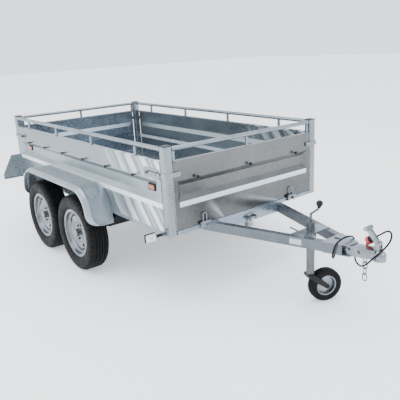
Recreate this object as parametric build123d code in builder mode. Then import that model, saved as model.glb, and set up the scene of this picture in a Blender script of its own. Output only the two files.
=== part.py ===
"""Tandem-axle box trailer with hinged ends, tube rails, V-shaped drawbar and jockey wheel.

Row frame: +X forward along the drawbar, +Y to the left, +Z up, Z = 0 on the ground and the
origin under the middle of the overall box. All sizes are in millimetres.
"""

from build123d import *
from math import atan, cos, degrees, hypot, radians, sin, tan
import os

os.makedirs("parts", exist_ok=True)

SIDES = {"left": 1, "right": -1}
ENDS = {"front": 1, "rear": -1}

# ---------------------------------------------------------------- driving dimensions
BODY_LENGTH = 2500.0  # rear face to front face of the load body
BODY_WIDTH = 1340.0  # outside of one side panel to the outside of the other
DRAWBAR_REACH = 1036.0  # front face of the body to the nose of the coupling
REAR_REACH = 30.0  # how far the tailgate's rope hooks stand behind the body
BODY_BOTTOM_Z = 476.0
PANEL_TOP_Z = 938.0
RAIL_Z = 1012.0  # centre line of the tube rails
POST_TOP_Z = 1031.0

OVERALL_LENGTH = REAR_REACH + BODY_LENGTH + DRAWBAR_REACH
REAR_X = REAR_REACH - OVERALL_LENGTH / 2
FRONT_X = REAR_X + BODY_LENGTH
NOSE_X = FRONT_X + DRAWBAR_REACH
SIDE_Y = BODY_WIDTH / 2
END_X = {1: FRONT_X, -1: REAR_X}

# sheet metal
SHEET = 2.0
FLOOR_FRAME_HEIGHT = 24.0
FLOOR_FRAME_WIDTH = 40.0
FLOOR_THICKNESS = 3.0
CROSS_MEMBERS = 6
FLANGE = 28.0  # width of the folded top edge of each panel
FLANGE_LIP = 14.0
CREASE_Z = 812.0  # top edge of the pressed field
LEDGE_Z = 679.0  # bottom edge of the pressed field
PRESS_DEPTH = 25.0
PRESS_BEVEL = 34.0  # height of the slope round the pressed field
SIDE_FIELD_INSET = 46.0  # post to the pressed field on the side panels
GATE_FIELD_INSET = 22.0  # edge of a gate to its pressed field

# posts and rails
POST = 58.0
POST_WALL = 3.0
POST_CORNER = 12.0
CAP_THICKNESS = 4.0
RAIL_RADIUS = 14.0
RAIL_WALL = 2.0
RAIL_INSET = 16.0  # outside of the body to a side rail's centre line
WELD_GAP = 0.3  # seam between pieces that are welded up separately
STUB_RADIUS = 11.0
SIDE_STUBS = (330.0, 928.0, 1544.0, 2150.0)  # from the rear face
SIDE_HOOKS = (349.0, 713.0, 1074.0, 1431.0, 1788.0, 2148.0)
GATE_HOOK_PITCH = 443.0
HOOK_REACH = 24.0
HOOK_RADIUS = 5.0
HOOK_BUTTON_RADIUS = 10.0
HOOK_Z = CREASE_Z + HOOK_RADIUS + 1.0

# hinged ends
GATE_RECESS = 6.0  # gate face behind the post face
GATE_GAP = 4.0  # gate to post
GATE_LIFT = 3.0  # gate to floor frame
HINGE_Z = 512.0
HINGE_OUT = 10.0  # hinge axis outside the body face
HINGE_Y = 400.0
KNUCKLE_RADIUS = 8.0
KNUCKLE_LENGTH = 36.0
KNUCKLE_GAP = 1.0
PIN_RADIUS = 4.0
PIN_CLEARANCE = 0.05
LOOP_HEIGHT = 62.0
LOOP_WIDTH = 34.0
LOOP_WIRE = 3.0
STRAP_THICKNESS = 4.0
STRAP_GAP = 1.0  # strap to post
STRAP_Z = (844.0, 872.0)
STRAP_INSET = 18.0  # edge of the gate to the inner end of its strap

# latches
PLATE_LENGTH = 164.0
PLATE_HEIGHT = 62.0
PLATE_THICKNESS = 3.0
PLATE_GAP = 8.0  # post to latch plate
LEVER_PIVOT_INSET = 28.0
LEVER_THICKNESS = 5.0
LEVER_LIFT = 3.5  # lever above its plate
LEVER_REACH = 112.0
LEVER_NOSE = 42.0
LEVER_WIDTH = 20.0
LEVER_PIN_RADIUS = 5.0

# lamps and reflectors
REFLECTOR = (80.0, 8.0, 42.0)
REFLECTOR_Z = 756.0
REFLECTOR_FRONT_INSET = 197.0
REFLECTOR_REAR_INSET = 270.0
BOARD_THICKNESS = 3.0
BOARD_TOP_Z = 670.0
BOARD_BEND_Z = 499.0
BOARD_BOTTOM_Z = 453.0
BOARD_TOP_OUT = 82.0  # side panel to the top of the board
BOARD_BOTTOM_OUT = 178.0
BOARD_FLANGE = 26.0
LAMP_OUT = 72.0  # side panel to the middle of a lamp
LAMP_Z = 540.0
LAMP_HALF = 50.0
MARKER_INSET = 105.0
MARKER_Z = 468.0
MARKER_SIZE = (30.0, 78.0, 54.0)

# running gear
AXLE_FROM_REAR = 1175.0  # rear face to the middle of the two axles
AXLE_SPACING = 620.0
WHEEL_RADIUS = 289.0
WHEEL_OUT = 108.0  # side panel to the middle of the tyre
TYRE_HALF = 77.5
RIM_HALF = 62.0
TYRE_HEIGHT = 107.0  # edge of the rim to the tread
RIM_LIP = 16.0
WHEEL_OFFSET = 28.0  # middle of the rim to the hub's mounting face
DISC_THICKNESS = 5.0
VENTS = 4
VENT_RADIUS = 13.0
VENT_INSET = 54.0  # bead to the middle of the vents
BOLTS = 4
BOLT_CIRCLE = 50.0
BOLT_RADIUS = 6.0
BOLT_CLEARANCE = 0.5
BOLT_HEAD = (10.0, 11.0)
HUB_BODY_RADIUS = 42.0
HUB_FLANGE_RADIUS = 66.0
HUB_CAP_RADIUS = 28.7
DISC_BORE_RADIUS = 29.3
STUB_AXLE_RADIUS = 17.5
SPIN_CLEARANCE = 0.05
AXLE_LEAD = 150.0  # axle tube in front of the wheel centre
AXLE_RISE = 75.0  # axle tube above the wheel centre
AXLE_TUBE = 60.0
AXLE_INSET = 25.0  # side panel to the end of the axle tube
AXLE_WALL = 5.0
ARM_THICKNESS = 38.0
ARM_GAP = 2.0
SPIGOT_RADIUS = 22.0
SPIGOT_LENGTH = 58.0
GUARD_TOP_Z = 672.0
GUARD_BOTTOM_Z = 405.0
GUARD_FLAT_HALF = 450.0
GUARD_END_HALF = 622.0
GUARD_WIDTH = 198.0
GUARD_BEND = 90.0
GUARD_SKIRT = 24.0
GUARD_CORNER = 85.0

# drawbar
ARM_HEIGHT = 60.0
ARM_WIDTH = 40.0
ARM_WALL = 3.0
ARM_ANGLE = 17.5
ARM_FRONT_Y = 285.0  # centre line of an arm where it passes the body's front face
ARM_REAR_INSET = 90.0  # side panel to the centre line of an arm under the body
ARM_TIP = 790.0  # body face to the front end of the arms
BEAM_WIDTH = 44.0
APEX_START = 685.0  # body face to the rear edge of the apex plates
APEX_LAP = 40.0  # apex plates over the tail of the coupling
PLATE = 6.0
JOCKEY_FORWARD = 526.0
JOCKEY_PLATE_LENGTH = 96.0
JOCKEY_PLATE_HALF = 122.0
JOCKEY_SLEEVE_RADIUS = 25.0
JOCKEY_SLEEVE_WALL = 3.0
JOCKEY_SLEEVE_TOP = 540.0
JOCKEY_SLEEVE_BOTTOM = 202.0
JOCKEY_TUBE_RADIUS = 21.95
JOCKEY_RADIUS = 107.5
JOCKEY_HALF = 32.0
JOCKEY_RIM_RADIUS = 66.0
JOCKEY_TRAIL = 100.0
JOCKEY_HEADING = 67.0  # direction the castor trails, from +X towards +Y
FORK_PLATE = 4.0
FORK_GAP = 4.0
FORK_HEAD_TOP = 196.0
FORK_HEAD_BOTTOM = 177.0
CRANK_RADIUS = 7.0
KNOB_RADIUS = 20.0
CLAMP_FORWARD = 40.0  # sleeve axis to the clamp screw's seat
CLAMP_Z = 446.0

# coupling and safety chain
BALL_RADIUS = 25.0
BALL_CLEARANCE = 0.5
CUP_WALL = 10.5
BALL_X = NOSE_X - BALL_RADIUS - BALL_CLEARANCE - CUP_WALL
BALL_Z = 455.0
COUPLING_HALF = 32.0
COUPLING_WALL = 4.0
COUPLING_TAIL = 202.0  # ball to the rear end of the coupling body
HANDLE_X = BALL_X - 10.0
HANDLE_Z = 522.0
HANDLE_LENGTH = 100.0
HANDLE_LEAN = 42.0  # handle leans back from the vertical
HANDLE_PIN_RADIUS = 6.0
LINK_WIRE = 3.5
LINK_LENGTH = 50.0
LINK_WIDTH = 34.0
LINK_SLACK = 0.3
CHAIN_X = BALL_X - 87.0

# electric lead
LEAD_RADIUS = 5.0
PLUG_RADIUS = 20.0
PLUG_LENGTH = 62.0
GLAND_LENGTH = 14.0

# ---------------------------------------------------------------- worked-out places
FLOOR_FRAME_TOP = BODY_BOTTOM_Z + FLOOR_FRAME_HEIGHT
FLOOR_TOP = FLOOR_FRAME_TOP + FLOOR_THICKNESS
GATE_HALF = SIDE_Y - POST - GATE_GAP
STRAP_END_Y = GATE_HALF - STRAP_INSET
BOARD_TOP_Y = SIDE_Y + BOARD_TOP_OUT
BOARD_BOTTOM_Y = SIDE_Y + BOARD_BOTTOM_OUT
LAMP_Y = SIDE_Y + LAMP_OUT
WHEEL_Y = SIDE_Y + WHEEL_OUT
AXLE_HALF = SIDE_Y - AXLE_INSET
GUARD_OUTER_Y = SIDE_Y + GUARD_WIDTH
ARM_REAR_Y = SIDE_Y - ARM_REAR_INSET
GATE_BOTTOM = FLOOR_FRAME_TOP + GATE_LIFT
ARM_TOP_Z = BODY_BOTTOM_Z
ARM_MID_Z = ARM_TOP_Z - ARM_HEIGHT / 2
ARM_BOTTOM_Z = ARM_TOP_Z - ARM_HEIGHT
AXLE_X = {
    "front": REAR_X + AXLE_FROM_REAR + AXLE_SPACING / 2,
    "rear": REAR_X + AXLE_FROM_REAR - AXLE_SPACING / 2,
}
AXLE_Z = WHEEL_RADIUS + AXLE_RISE
RIM_RADIUS = WHEEL_RADIUS - TYRE_HEIGHT
BEAD_RADIUS = RIM_RADIUS - RIM_LIP
VENT_CIRCLE = BEAD_RADIUS - VENT_INSET
GUARD_MID_X = REAR_X + AXLE_FROM_REAR
JOCKEY_X = FRONT_X + JOCKEY_FORWARD
TAPER = degrees(atan(PRESS_BEVEL / PRESS_DEPTH))


def save(builder, label):
    """Label a finished sub-part and write it as its own STEP file."""
    builder.part.label = label
    export_step(builder.part, f"parts/{label}.step")


def block(x, y, z, mode=Mode.ADD):
    """Add a box given by its low and high X, Y and Z to the part being built."""
    low = Vector(min(x), min(y), min(z))
    high = Vector(max(x), max(y), max(z))
    size = high - low
    with Locations((low + high) / 2):
        Box(size.X, size.Y, size.Z, mode=mode)


def box_tube(x, y, z, wall, along):
    """Add a rectangular tube; along is 0, 1 or 2 for a tube that runs in X, Y or Z."""
    block(x, y, z)
    spans = [(min(span), max(span)) for span in (x, y, z)]
    bore = [span if axis == along else (span[0] + wall, span[1] - wall) for axis, span in enumerate(spans)]
    block(*bore, mode=Mode.SUBTRACT)


def bar(start, end, radius, wall=0.0, mode=Mode.ADD):
    """Add a round bar, or a tube when it has a wall, from start to end."""
    axis = Vector(*end) - Vector(*start)
    with BuildSketch(Plane(origin=start, z_dir=axis)) as section:
        Circle(radius)
        if wall:
            Circle(radius - wall, mode=Mode.SUBTRACT)
    extrude(section.sketch, amount=axis.length, mode=mode)


def pressed_sheet(face, half_width, low_z, high_z, inset):
    """Add a sheet with a pressed field; face looks inwards from the sheet's outer side."""
    bevel_wall = SHEET / cos(radians(TAPER))
    field_height = CREASE_Z - LEDGE_Z
    field_width = 2 * (half_width - inset)
    sheet_plane = Plane(face.origin + Vector(0, 0, (low_z + high_z) / 2), face.x_dir, face.z_dir)
    field_plane = Plane(face.origin + Vector(0, 0, (CREASE_Z + LEDGE_Z) / 2), face.x_dir, face.z_dir)
    with BuildSketch(sheet_plane) as sheet:
        Rectangle(2 * half_width, high_z - low_z)
    extrude(sheet.sketch, amount=SHEET)
    with BuildSketch(field_plane) as bulge:
        Rectangle(field_width + 2 * bevel_wall, field_height + 2 * bevel_wall)
    extrude(bulge.sketch, amount=PRESS_DEPTH + SHEET, taper=TAPER)
    with BuildSketch(field_plane) as hollow:
        Rectangle(field_width, field_height)
    extrude(hollow.sketch, amount=PRESS_DEPTH, taper=TAPER, mode=Mode.SUBTRACT)


def arm_y(x):
    """Distance of a drawbar arm's centre line from the middle of the trailer at x."""
    return min(ARM_REAR_Y, ARM_FRONT_Y + (FRONT_X - x) * tan(radians(ARM_ANGLE)))


# ---------------------------------------------------------------- floor and chassis frame
with BuildPart() as floor_frame:
    frame_z = (BODY_BOTTOM_Z, FLOOR_FRAME_TOP)
    inner_y = SIDE_Y - FLOOR_FRAME_WIDTH - WELD_GAP
    for side in SIDES.values():
        edge = (side * SIDE_Y, side * (SIDE_Y - FLOOR_FRAME_WIDTH))
        box_tube((REAR_X + POST, FRONT_X - POST), edge, frame_z, SHEET, 0)
    for end, x in END_X.items():
        box_tube((x, x - end * FLOOR_FRAME_WIDTH), (-SIDE_Y + POST, SIDE_Y - POST), frame_z, SHEET, 1)
    bay = (BODY_LENGTH - 2 * POST) / (CROSS_MEMBERS + 1)
    for index in range(1, CROSS_MEMBERS + 1):
        x = REAR_X + POST + index * bay
        box_tube((x - FLOOR_FRAME_WIDTH / 2, x + FLOOR_FRAME_WIDTH / 2), (-inner_y, inner_y), frame_z, SHEET, 1)
    for x in (FRONT_X - BEAM_WIDTH, REAR_X):
        reach = arm_y(x + BEAM_WIDTH) - ARM_WIDTH / 2 / cos(radians(ARM_ANGLE)) - WELD_GAP
        beam_z = (ARM_BOTTOM_Z, ARM_TOP_Z - WELD_GAP)
        box_tube((x, x + BEAM_WIDTH), (-reach, reach), beam_z, ARM_WALL, 1)
save(floor_frame, "floor_frame")

with BuildPart() as floor_panel:
    end_gap = GATE_RECESS + SHEET + GATE_LIFT
    block(
        (REAR_X + end_gap, FRONT_X - end_gap),
        (-SIDE_Y + SHEET, SIDE_Y - SHEET),
        (FLOOR_FRAME_TOP, FLOOR_TOP),
    )
    for end, x in END_X.items():
        for side in SIDES.values():
            corner_y = side * (SIDE_Y - POST)
            block((x, x - end * POST), (side * SIDE_Y, corner_y), (FLOOR_FRAME_TOP, FLOOR_TOP), Mode.SUBTRACT)
save(floor_panel, "floor_panel")

# ---------------------------------------------------------------- fixed sides
for side_name, side in SIDES.items():
    with BuildPart() as side_panel:
        middle_x = (REAR_X + FRONT_X) / 2
        inward = Plane(origin=(middle_x, side * SIDE_Y, 0), x_dir=(1, 0, 0), z_dir=(0, -side, 0))
        half = BODY_LENGTH / 2 - POST
        pressed_sheet(inward, half, FLOOR_FRAME_TOP, PANEL_TOP_Z, SIDE_FIELD_INSET)
        span_x = (middle_x - half, middle_x + half)
        inner = side * (SIDE_Y - FLANGE)
        block(span_x, (side * SIDE_Y, inner), (PANEL_TOP_Z - SHEET, PANEL_TOP_Z))
        block(span_x, (inner, inner + side * SHEET), (PANEL_TOP_Z - FLANGE_LIP, PANEL_TOP_Z))
    save(side_panel, f"side_panel_{side_name}")

with BuildPart() as corner_posts:
    for end, x in END_X.items():
        for side in SIDES.values():
            centre = (x - end * POST / 2, side * (SIDE_Y - POST / 2))
            bore = POST - 2 * POST_WALL
            with BuildSketch(Plane.XY.offset(BODY_BOTTOM_Z)):
                with Locations(centre):
                    RectangleRounded(POST, POST, POST_CORNER)
                    RectangleRounded(bore, bore, POST_CORNER - POST_WALL, mode=Mode.SUBTRACT)
            extrude(amount=POST_TOP_Z - CAP_THICKNESS - BODY_BOTTOM_Z)
            with BuildSketch(Plane.XY.offset(POST_TOP_Z - CAP_THICKNESS)):
                with Locations(centre):
                    RectangleRounded(POST, POST, POST_CORNER)
            extrude(amount=CAP_THICKNESS)
save(corner_posts, "corner_posts")

with BuildPart() as side_rails:
    for side in SIDES.values():
        rail_y = side * (SIDE_Y - RAIL_INSET)
        bar((REAR_X + POST, rail_y, RAIL_Z), (FRONT_X - POST, rail_y, RAIL_Z), RAIL_RADIUS, RAIL_WALL)
        for from_rear in SIDE_STUBS:
            x = REAR_X + from_rear
            bar((x, rail_y, PANEL_TOP_Z), (x, rail_y, RAIL_Z - RAIL_RADIUS - WELD_GAP), STUB_RADIUS)
save(side_rails, "side_rails")


def rope_hook(root, out):
    """Add one rope hook: a pin with a round button, standing out along the given direction."""
    pin_end = root + out * (HOOK_REACH - 6)
    bar(root, pin_end, HOOK_RADIUS)
    bar(pin_end, root + out * HOOK_REACH, HOOK_BUTTON_RADIUS)


with BuildPart() as side_hooks:
    for side in SIDES.values():
        for from_rear in SIDE_HOOKS:
            seat = Vector(REAR_X + from_rear, side * SIDE_Y, HOOK_Z)
            rope_hook(seat, Vector(0, side, 0))
save(side_hooks, "side_hooks")

# ---------------------------------------------------------------- hinged ends
GATE_SPAN_Z = (GATE_BOTTOM, PANEL_TOP_Z)
for end_name, end in ENDS.items():
    label = {"front": "headboard", "rear": "tailgate"}[end_name]
    face_x = END_X[end] - end * GATE_RECESS
    hinge_x = END_X[end] + end * HINGE_OUT
    rail_x = face_x - end * FLANGE / 2

    with BuildPart() as gate_panel:
        inward = Plane(origin=(face_x, 0, 0), x_dir=(0, 1, 0), z_dir=(-end, 0, 0))
        pressed_sheet(inward, GATE_HALF, GATE_BOTTOM, PANEL_TOP_Z, GATE_FIELD_INSET)
        inner = face_x - end * FLANGE
        block((face_x, inner), (-GATE_HALF, GATE_HALF), (PANEL_TOP_Z - SHEET, PANEL_TOP_Z))
        block((inner, inner + end * SHEET), (-GATE_HALF, GATE_HALF), (PANEL_TOP_Z - FLANGE_LIP, PANEL_TOP_Z))
    save(gate_panel, f"{label}_panel")

    with BuildPart() as gate_rail:
        bar((rail_x, -GATE_HALF, RAIL_Z), (rail_x, GATE_HALF, RAIL_Z), RAIL_RADIUS, RAIL_WALL)
        for y in (-GATE_HALF + STUB_RADIUS, 0, GATE_HALF - STUB_RADIUS):
            bar((rail_x, y, PANEL_TOP_Z), (rail_x, y, RAIL_Z - RAIL_RADIUS - WELD_GAP), STUB_RADIUS)
    save(gate_rail, f"{label}_rail")

    with BuildPart() as gate_fittings:
        for y in (-GATE_HOOK_PITCH, 0, GATE_HOOK_PITCH):
            rope_hook(Vector(face_x, y, HOOK_Z), Vector(end, 0, 0))
        for side in SIDES.values():
            # strap from the gate round the outside of the post to the latch plate
            front_in = END_X[end] + end * STRAP_GAP
            front_out = front_in + end * STRAP_THICKNESS
            side_in = side * (SIDE_Y + STRAP_GAP)
            side_out = side_in + side * STRAP_THICKNESS
            tongue_x = END_X[end] - end * (POST + PLATE_GAP - 2)
            block((face_x, front_in), (side * STRAP_END_Y, side * (STRAP_END_Y - 26)), STRAP_Z)
            block((front_in, front_out), (side * (STRAP_END_Y - 26), side_out), STRAP_Z)
            block((front_in, tongue_x), (side_in, side_out), STRAP_Z)
            # hinge knuckle and its lug
            y = side * HINGE_Y
            half_knuckle = KNUCKLE_LENGTH / 2
            lug_z = (HINGE_Z - KNUCKLE_RADIUS / 2, HINGE_Z + KNUCKLE_RADIUS / 2)
            block((face_x, hinge_x), (y - half_knuckle, y + half_knuckle), lug_z)
            bar((hinge_x, y - half_knuckle, HINGE_Z), (hinge_x, y + half_knuckle, HINGE_Z), KNUCKLE_RADIUS)
            pin_hole = PIN_RADIUS + PIN_CLEARANCE
            hole_ends = [(hinge_x, y + turn * KNUCKLE_LENGTH, HINGE_Z) for turn in (-1, 1)]
            bar(*hole_ends, pin_hole, mode=Mode.SUBTRACT)
            # wire loop that stands on the knuckle, in front of the sheet
            loop_x = hinge_x - end * KNUCKLE_RADIUS / 2
            loop_top = HINGE_Z + LOOP_HEIGHT
            leg_y = LOOP_WIDTH / 2 - LOOP_WIRE
            for leg in (-1, 1):
                foot = (loop_x, y + leg * leg_y, HINGE_Z + KNUCKLE_RADIUS - 2)
                bar(foot, (loop_x, y + leg * leg_y, loop_top - leg_y), LOOP_WIRE)
            with BuildSketch(Plane(origin=(loop_x, y + leg_y, loop_top - leg_y), x_dir=(1, 0, 0), z_dir=(0, 0, 1))):
                Circle(LOOP_WIRE)
            revolve(axis=Axis((loop_x, y, loop_top - leg_y), (1, 0, 0)), revolution_arc=180)
    save(gate_fittings, f"{label}_fittings")

with BuildPart() as hinge_brackets:
    for end, x in END_X.items():
        hinge_x = x + end * HINGE_OUT
        for side in SIDES.values():
            for turn in (-1, 1):
                near = side * HINGE_Y + turn * (KNUCKLE_LENGTH / 2 + KNUCKLE_GAP)
                far = near + turn * KNUCKLE_LENGTH / 2
                block((x, hinge_x + end * 4), (near, far), (BODY_BOTTOM_Z + 2, HINGE_Z - 2))
                bar((hinge_x, near, HINGE_Z), (hinge_x, far, HINGE_Z), KNUCKLE_RADIUS)
            pin_reach = KNUCKLE_LENGTH + KNUCKLE_GAP + 5
            pin = [(hinge_x, side * HINGE_Y + turn * pin_reach, HINGE_Z) for turn in (-1, 1)]
            bar(*pin, PIN_RADIUS)
save(hinge_brackets, "hinge_brackets")

# ---------------------------------------------------------------- latches
with BuildPart() as latch_plates:
    for end, x in END_X.items():
        front = x - end * (POST + PLATE_GAP)
        rear = front - end * PLATE_LENGTH
        pivot_x = front - end * LEVER_PIVOT_INSET
        plate_z = sum(STRAP_Z) / 2
        for side in SIDES.values():
            face_y = side * (SIDE_Y + PLATE_THICKNESS)
            plate_span_z = (plate_z - PLATE_HEIGHT / 2, plate_z + PLATE_HEIGHT / 2)
            block((front, rear), (side * SIDE_Y, face_y), plate_span_z)
            pin_y = face_y + side * (LEVER_LIFT + LEVER_THICKNESS + 4)
            bar((pivot_x, face_y, plate_z), (pivot_x, pin_y, plate_z), LEVER_PIN_RADIUS)
save(latch_plates, "latch_plates")

for end_name, end in ENDS.items():
    for side_name, side in SIDES.items():
        front = END_X[end] - end * (POST + PLATE_GAP)
        pivot_x = front - end * LEVER_PIVOT_INSET
        plate_z = sum(STRAP_Z) / 2
        lever_y = side * (SIDE_Y + PLATE_THICKNESS + LEVER_LIFT)
        lever_plane = Plane(origin=(pivot_x, lever_y, plate_z), x_dir=(-end, 0, 0), z_dir=(0, side, 0))
        with BuildPart() as latch_lever:
            with BuildSketch(lever_plane):
                with Locations(((LEVER_REACH - LEVER_NOSE) / 2, 0)):
                    SlotOverall(LEVER_REACH + LEVER_NOSE, LEVER_WIDTH)
                Circle(LEVER_WIDTH * 0.7)
                Circle(LEVER_PIN_RADIUS + PIN_CLEARANCE, mode=Mode.SUBTRACT)
            extrude(amount=LEVER_THICKNESS)
            grip = pivot_x - end * (LEVER_REACH - LEVER_WIDTH)
            grip_out = lever_y + side * (LEVER_THICKNESS + 14)
            block((grip, grip - end * 12), (lever_y, grip_out), (plate_z - 8, plate_z + 8))
        save(latch_lever, f"latch_lever_{end_name}_{side_name}")

# ---------------------------------------------------------------- lamps, boards and reflectors
with BuildPart() as side_reflectors:
    for side in SIDES.values():
        for x in (FRONT_X - REFLECTOR_FRONT_INSET, REAR_X + REFLECTOR_REAR_INSET):
            width, depth, height = REFLECTOR
            seat_y = side * (SIDE_Y - PRESS_DEPTH)
            span_x = (x - width / 2, x + width / 2)
            block(span_x, (seat_y, seat_y + side * depth), (REFLECTOR_Z - height / 2, REFLECTOR_Z + height / 2))
save(side_reflectors, "side_reflectors")

with BuildPart() as light_boards:
    for side in SIDES.values():
        board_plane = Plane(origin=(REAR_X, 0, 0), x_dir=(0, 1, 0), z_dir=(1, 0, 0))
        with BuildSketch(board_plane):
            with BuildLine():
                Polyline(
                    (side * SIDE_Y, BOARD_BOTTOM_Z),
                    (side * BOARD_BOTTOM_Y, BOARD_BOTTOM_Z),
                    (side * BOARD_BOTTOM_Y, BOARD_BEND_Z),
                    (side * BOARD_TOP_Y, BOARD_TOP_Z),
                    (side * SIDE_Y, BOARD_TOP_Z),
                    close=True,
                )
            make_face()
        extrude(amount=BOARD_THICKNESS)
        flange_x = (REAR_X, REAR_X + BOARD_FLANGE)
        block(flange_x, (side * SIDE_Y, side * BOARD_BOTTOM_Y), (BOARD_BOTTOM_Z, BOARD_BOTTOM_Z + BOARD_THICKNESS))
        block(flange_x, (side * SIDE_Y, side * (SIDE_Y + BOARD_THICKNESS)), (BOARD_BOTTOM_Z, BOARD_TOP_Z))
save(light_boards, "light_boards")

with BuildPart() as rear_lamps:
    for side in SIDES.values():
        block(
            (REAR_X, REAR_X - REAR_REACH),
            (side * LAMP_Y - LAMP_HALF, side * LAMP_Y + LAMP_HALF),
            (LAMP_Z - LAMP_HALF, LAMP_Z + LAMP_HALF),
        )
save(rear_lamps, "rear_lamps")

with BuildPart() as marker_lamps:
    for side in SIDES.values():
        x = FRONT_X - MARKER_INSET
        depth, width, height = MARKER_SIZE
        inner_y = side * (LAMP_Y - width / 2)
        with Locations((x, side * LAMP_Y, MARKER_Z)):
            Box(depth, width, height)
        block((x - 10, x + 10), (inner_y, side * (SIDE_Y - 36)), (BODY_BOTTOM_Z - 16, BODY_BOTTOM_Z))
save(marker_lamps, "marker_lamps")

# ---------------------------------------------------------------- mudguards
for side_name, side in SIDES.items():
    with BuildPart() as mudguard:
        guard_plane = Plane(origin=(GUARD_MID_X, side * SIDE_Y, 0), x_dir=(1, 0, 0), z_dir=(0, -1, 0))
        skirt_plane = Plane(origin=(GUARD_MID_X, side * (GUARD_OUTER_Y - SHEET), 0), x_dir=(1, 0, 0), z_dir=(0, -1, 0))
        for plane, depth, band in (
            (guard_plane, GUARD_OUTER_Y - SIDE_Y, SHEET),
            (skirt_plane, SHEET, GUARD_SKIRT),
        ):
            trim = 0 if band == SHEET else GUARD_CORNER
            slope = (GUARD_END_HALF - GUARD_FLAT_HALF) / (GUARD_TOP_Z - GUARD_BOTTOM_Z)
            end_half = GUARD_END_HALF - trim * slope
            end_z = GUARD_BOTTOM_Z + trim
            shift = band * (hypot(1, slope) - slope)
            along = band * hypot(1, slope)
            with BuildSketch(plane):
                with BuildLine():
                    FilletPolyline(
                        (-end_half, end_z),
                        (-GUARD_FLAT_HALF, GUARD_TOP_Z),
                        (GUARD_FLAT_HALF, GUARD_TOP_Z),
                        (end_half, end_z),
                        radius=GUARD_BEND,
                    )
                    inner = FilletPolyline(
                        (-end_half + along, end_z),
                        (-GUARD_FLAT_HALF + shift, GUARD_TOP_Z - band),
                        (GUARD_FLAT_HALF - shift, GUARD_TOP_Z - band),
                        (end_half - along, end_z),
                        radius=GUARD_BEND - band,
                    )
                    Line((-end_half, end_z), inner @ 0)
                    Line((end_half, end_z), inner @ 1)
                make_face()
            extrude(amount=-side * depth)
    save(mudguard, f"mudguard_{side_name}")

# ---------------------------------------------------------------- axles, swing arms and wheels
with BuildPart() as axle_tubes:
    for wheel_x in AXLE_X.values():
        tube_x = wheel_x + AXLE_LEAD
        half = AXLE_TUBE / 2
        bore_start = AXLE_HALF - SPIGOT_LENGTH - ARM_GAP
        cavity = half - AXLE_WALL
        block((tube_x - half, tube_x + half), (-AXLE_HALF, AXLE_HALF), (AXLE_Z - half, AXLE_Z + half))
        block(
            (tube_x - cavity, tube_x + cavity),
            (AXLE_WALL - bore_start, bore_start - AXLE_WALL),
            (AXLE_Z - cavity, AXLE_Z + cavity),
            Mode.SUBTRACT,
        )
        for side in SIDES.values():
            bore_radius = SPIGOT_RADIUS + SPIN_CLEARANCE
            bore = [(tube_x, side * y, AXLE_Z) for y in (bore_start, AXLE_HALF)]
            bar(*bore, bore_radius, mode=Mode.SUBTRACT)
            seat_y = side * (arm_y(tube_x) - ARM_WIDTH / 4)
            block((tube_x - half, tube_x + half), (seat_y - half, seat_y + half), (AXLE_Z + half, ARM_BOTTOM_Z))
save(axle_tubes, "axle_tubes")

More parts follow.
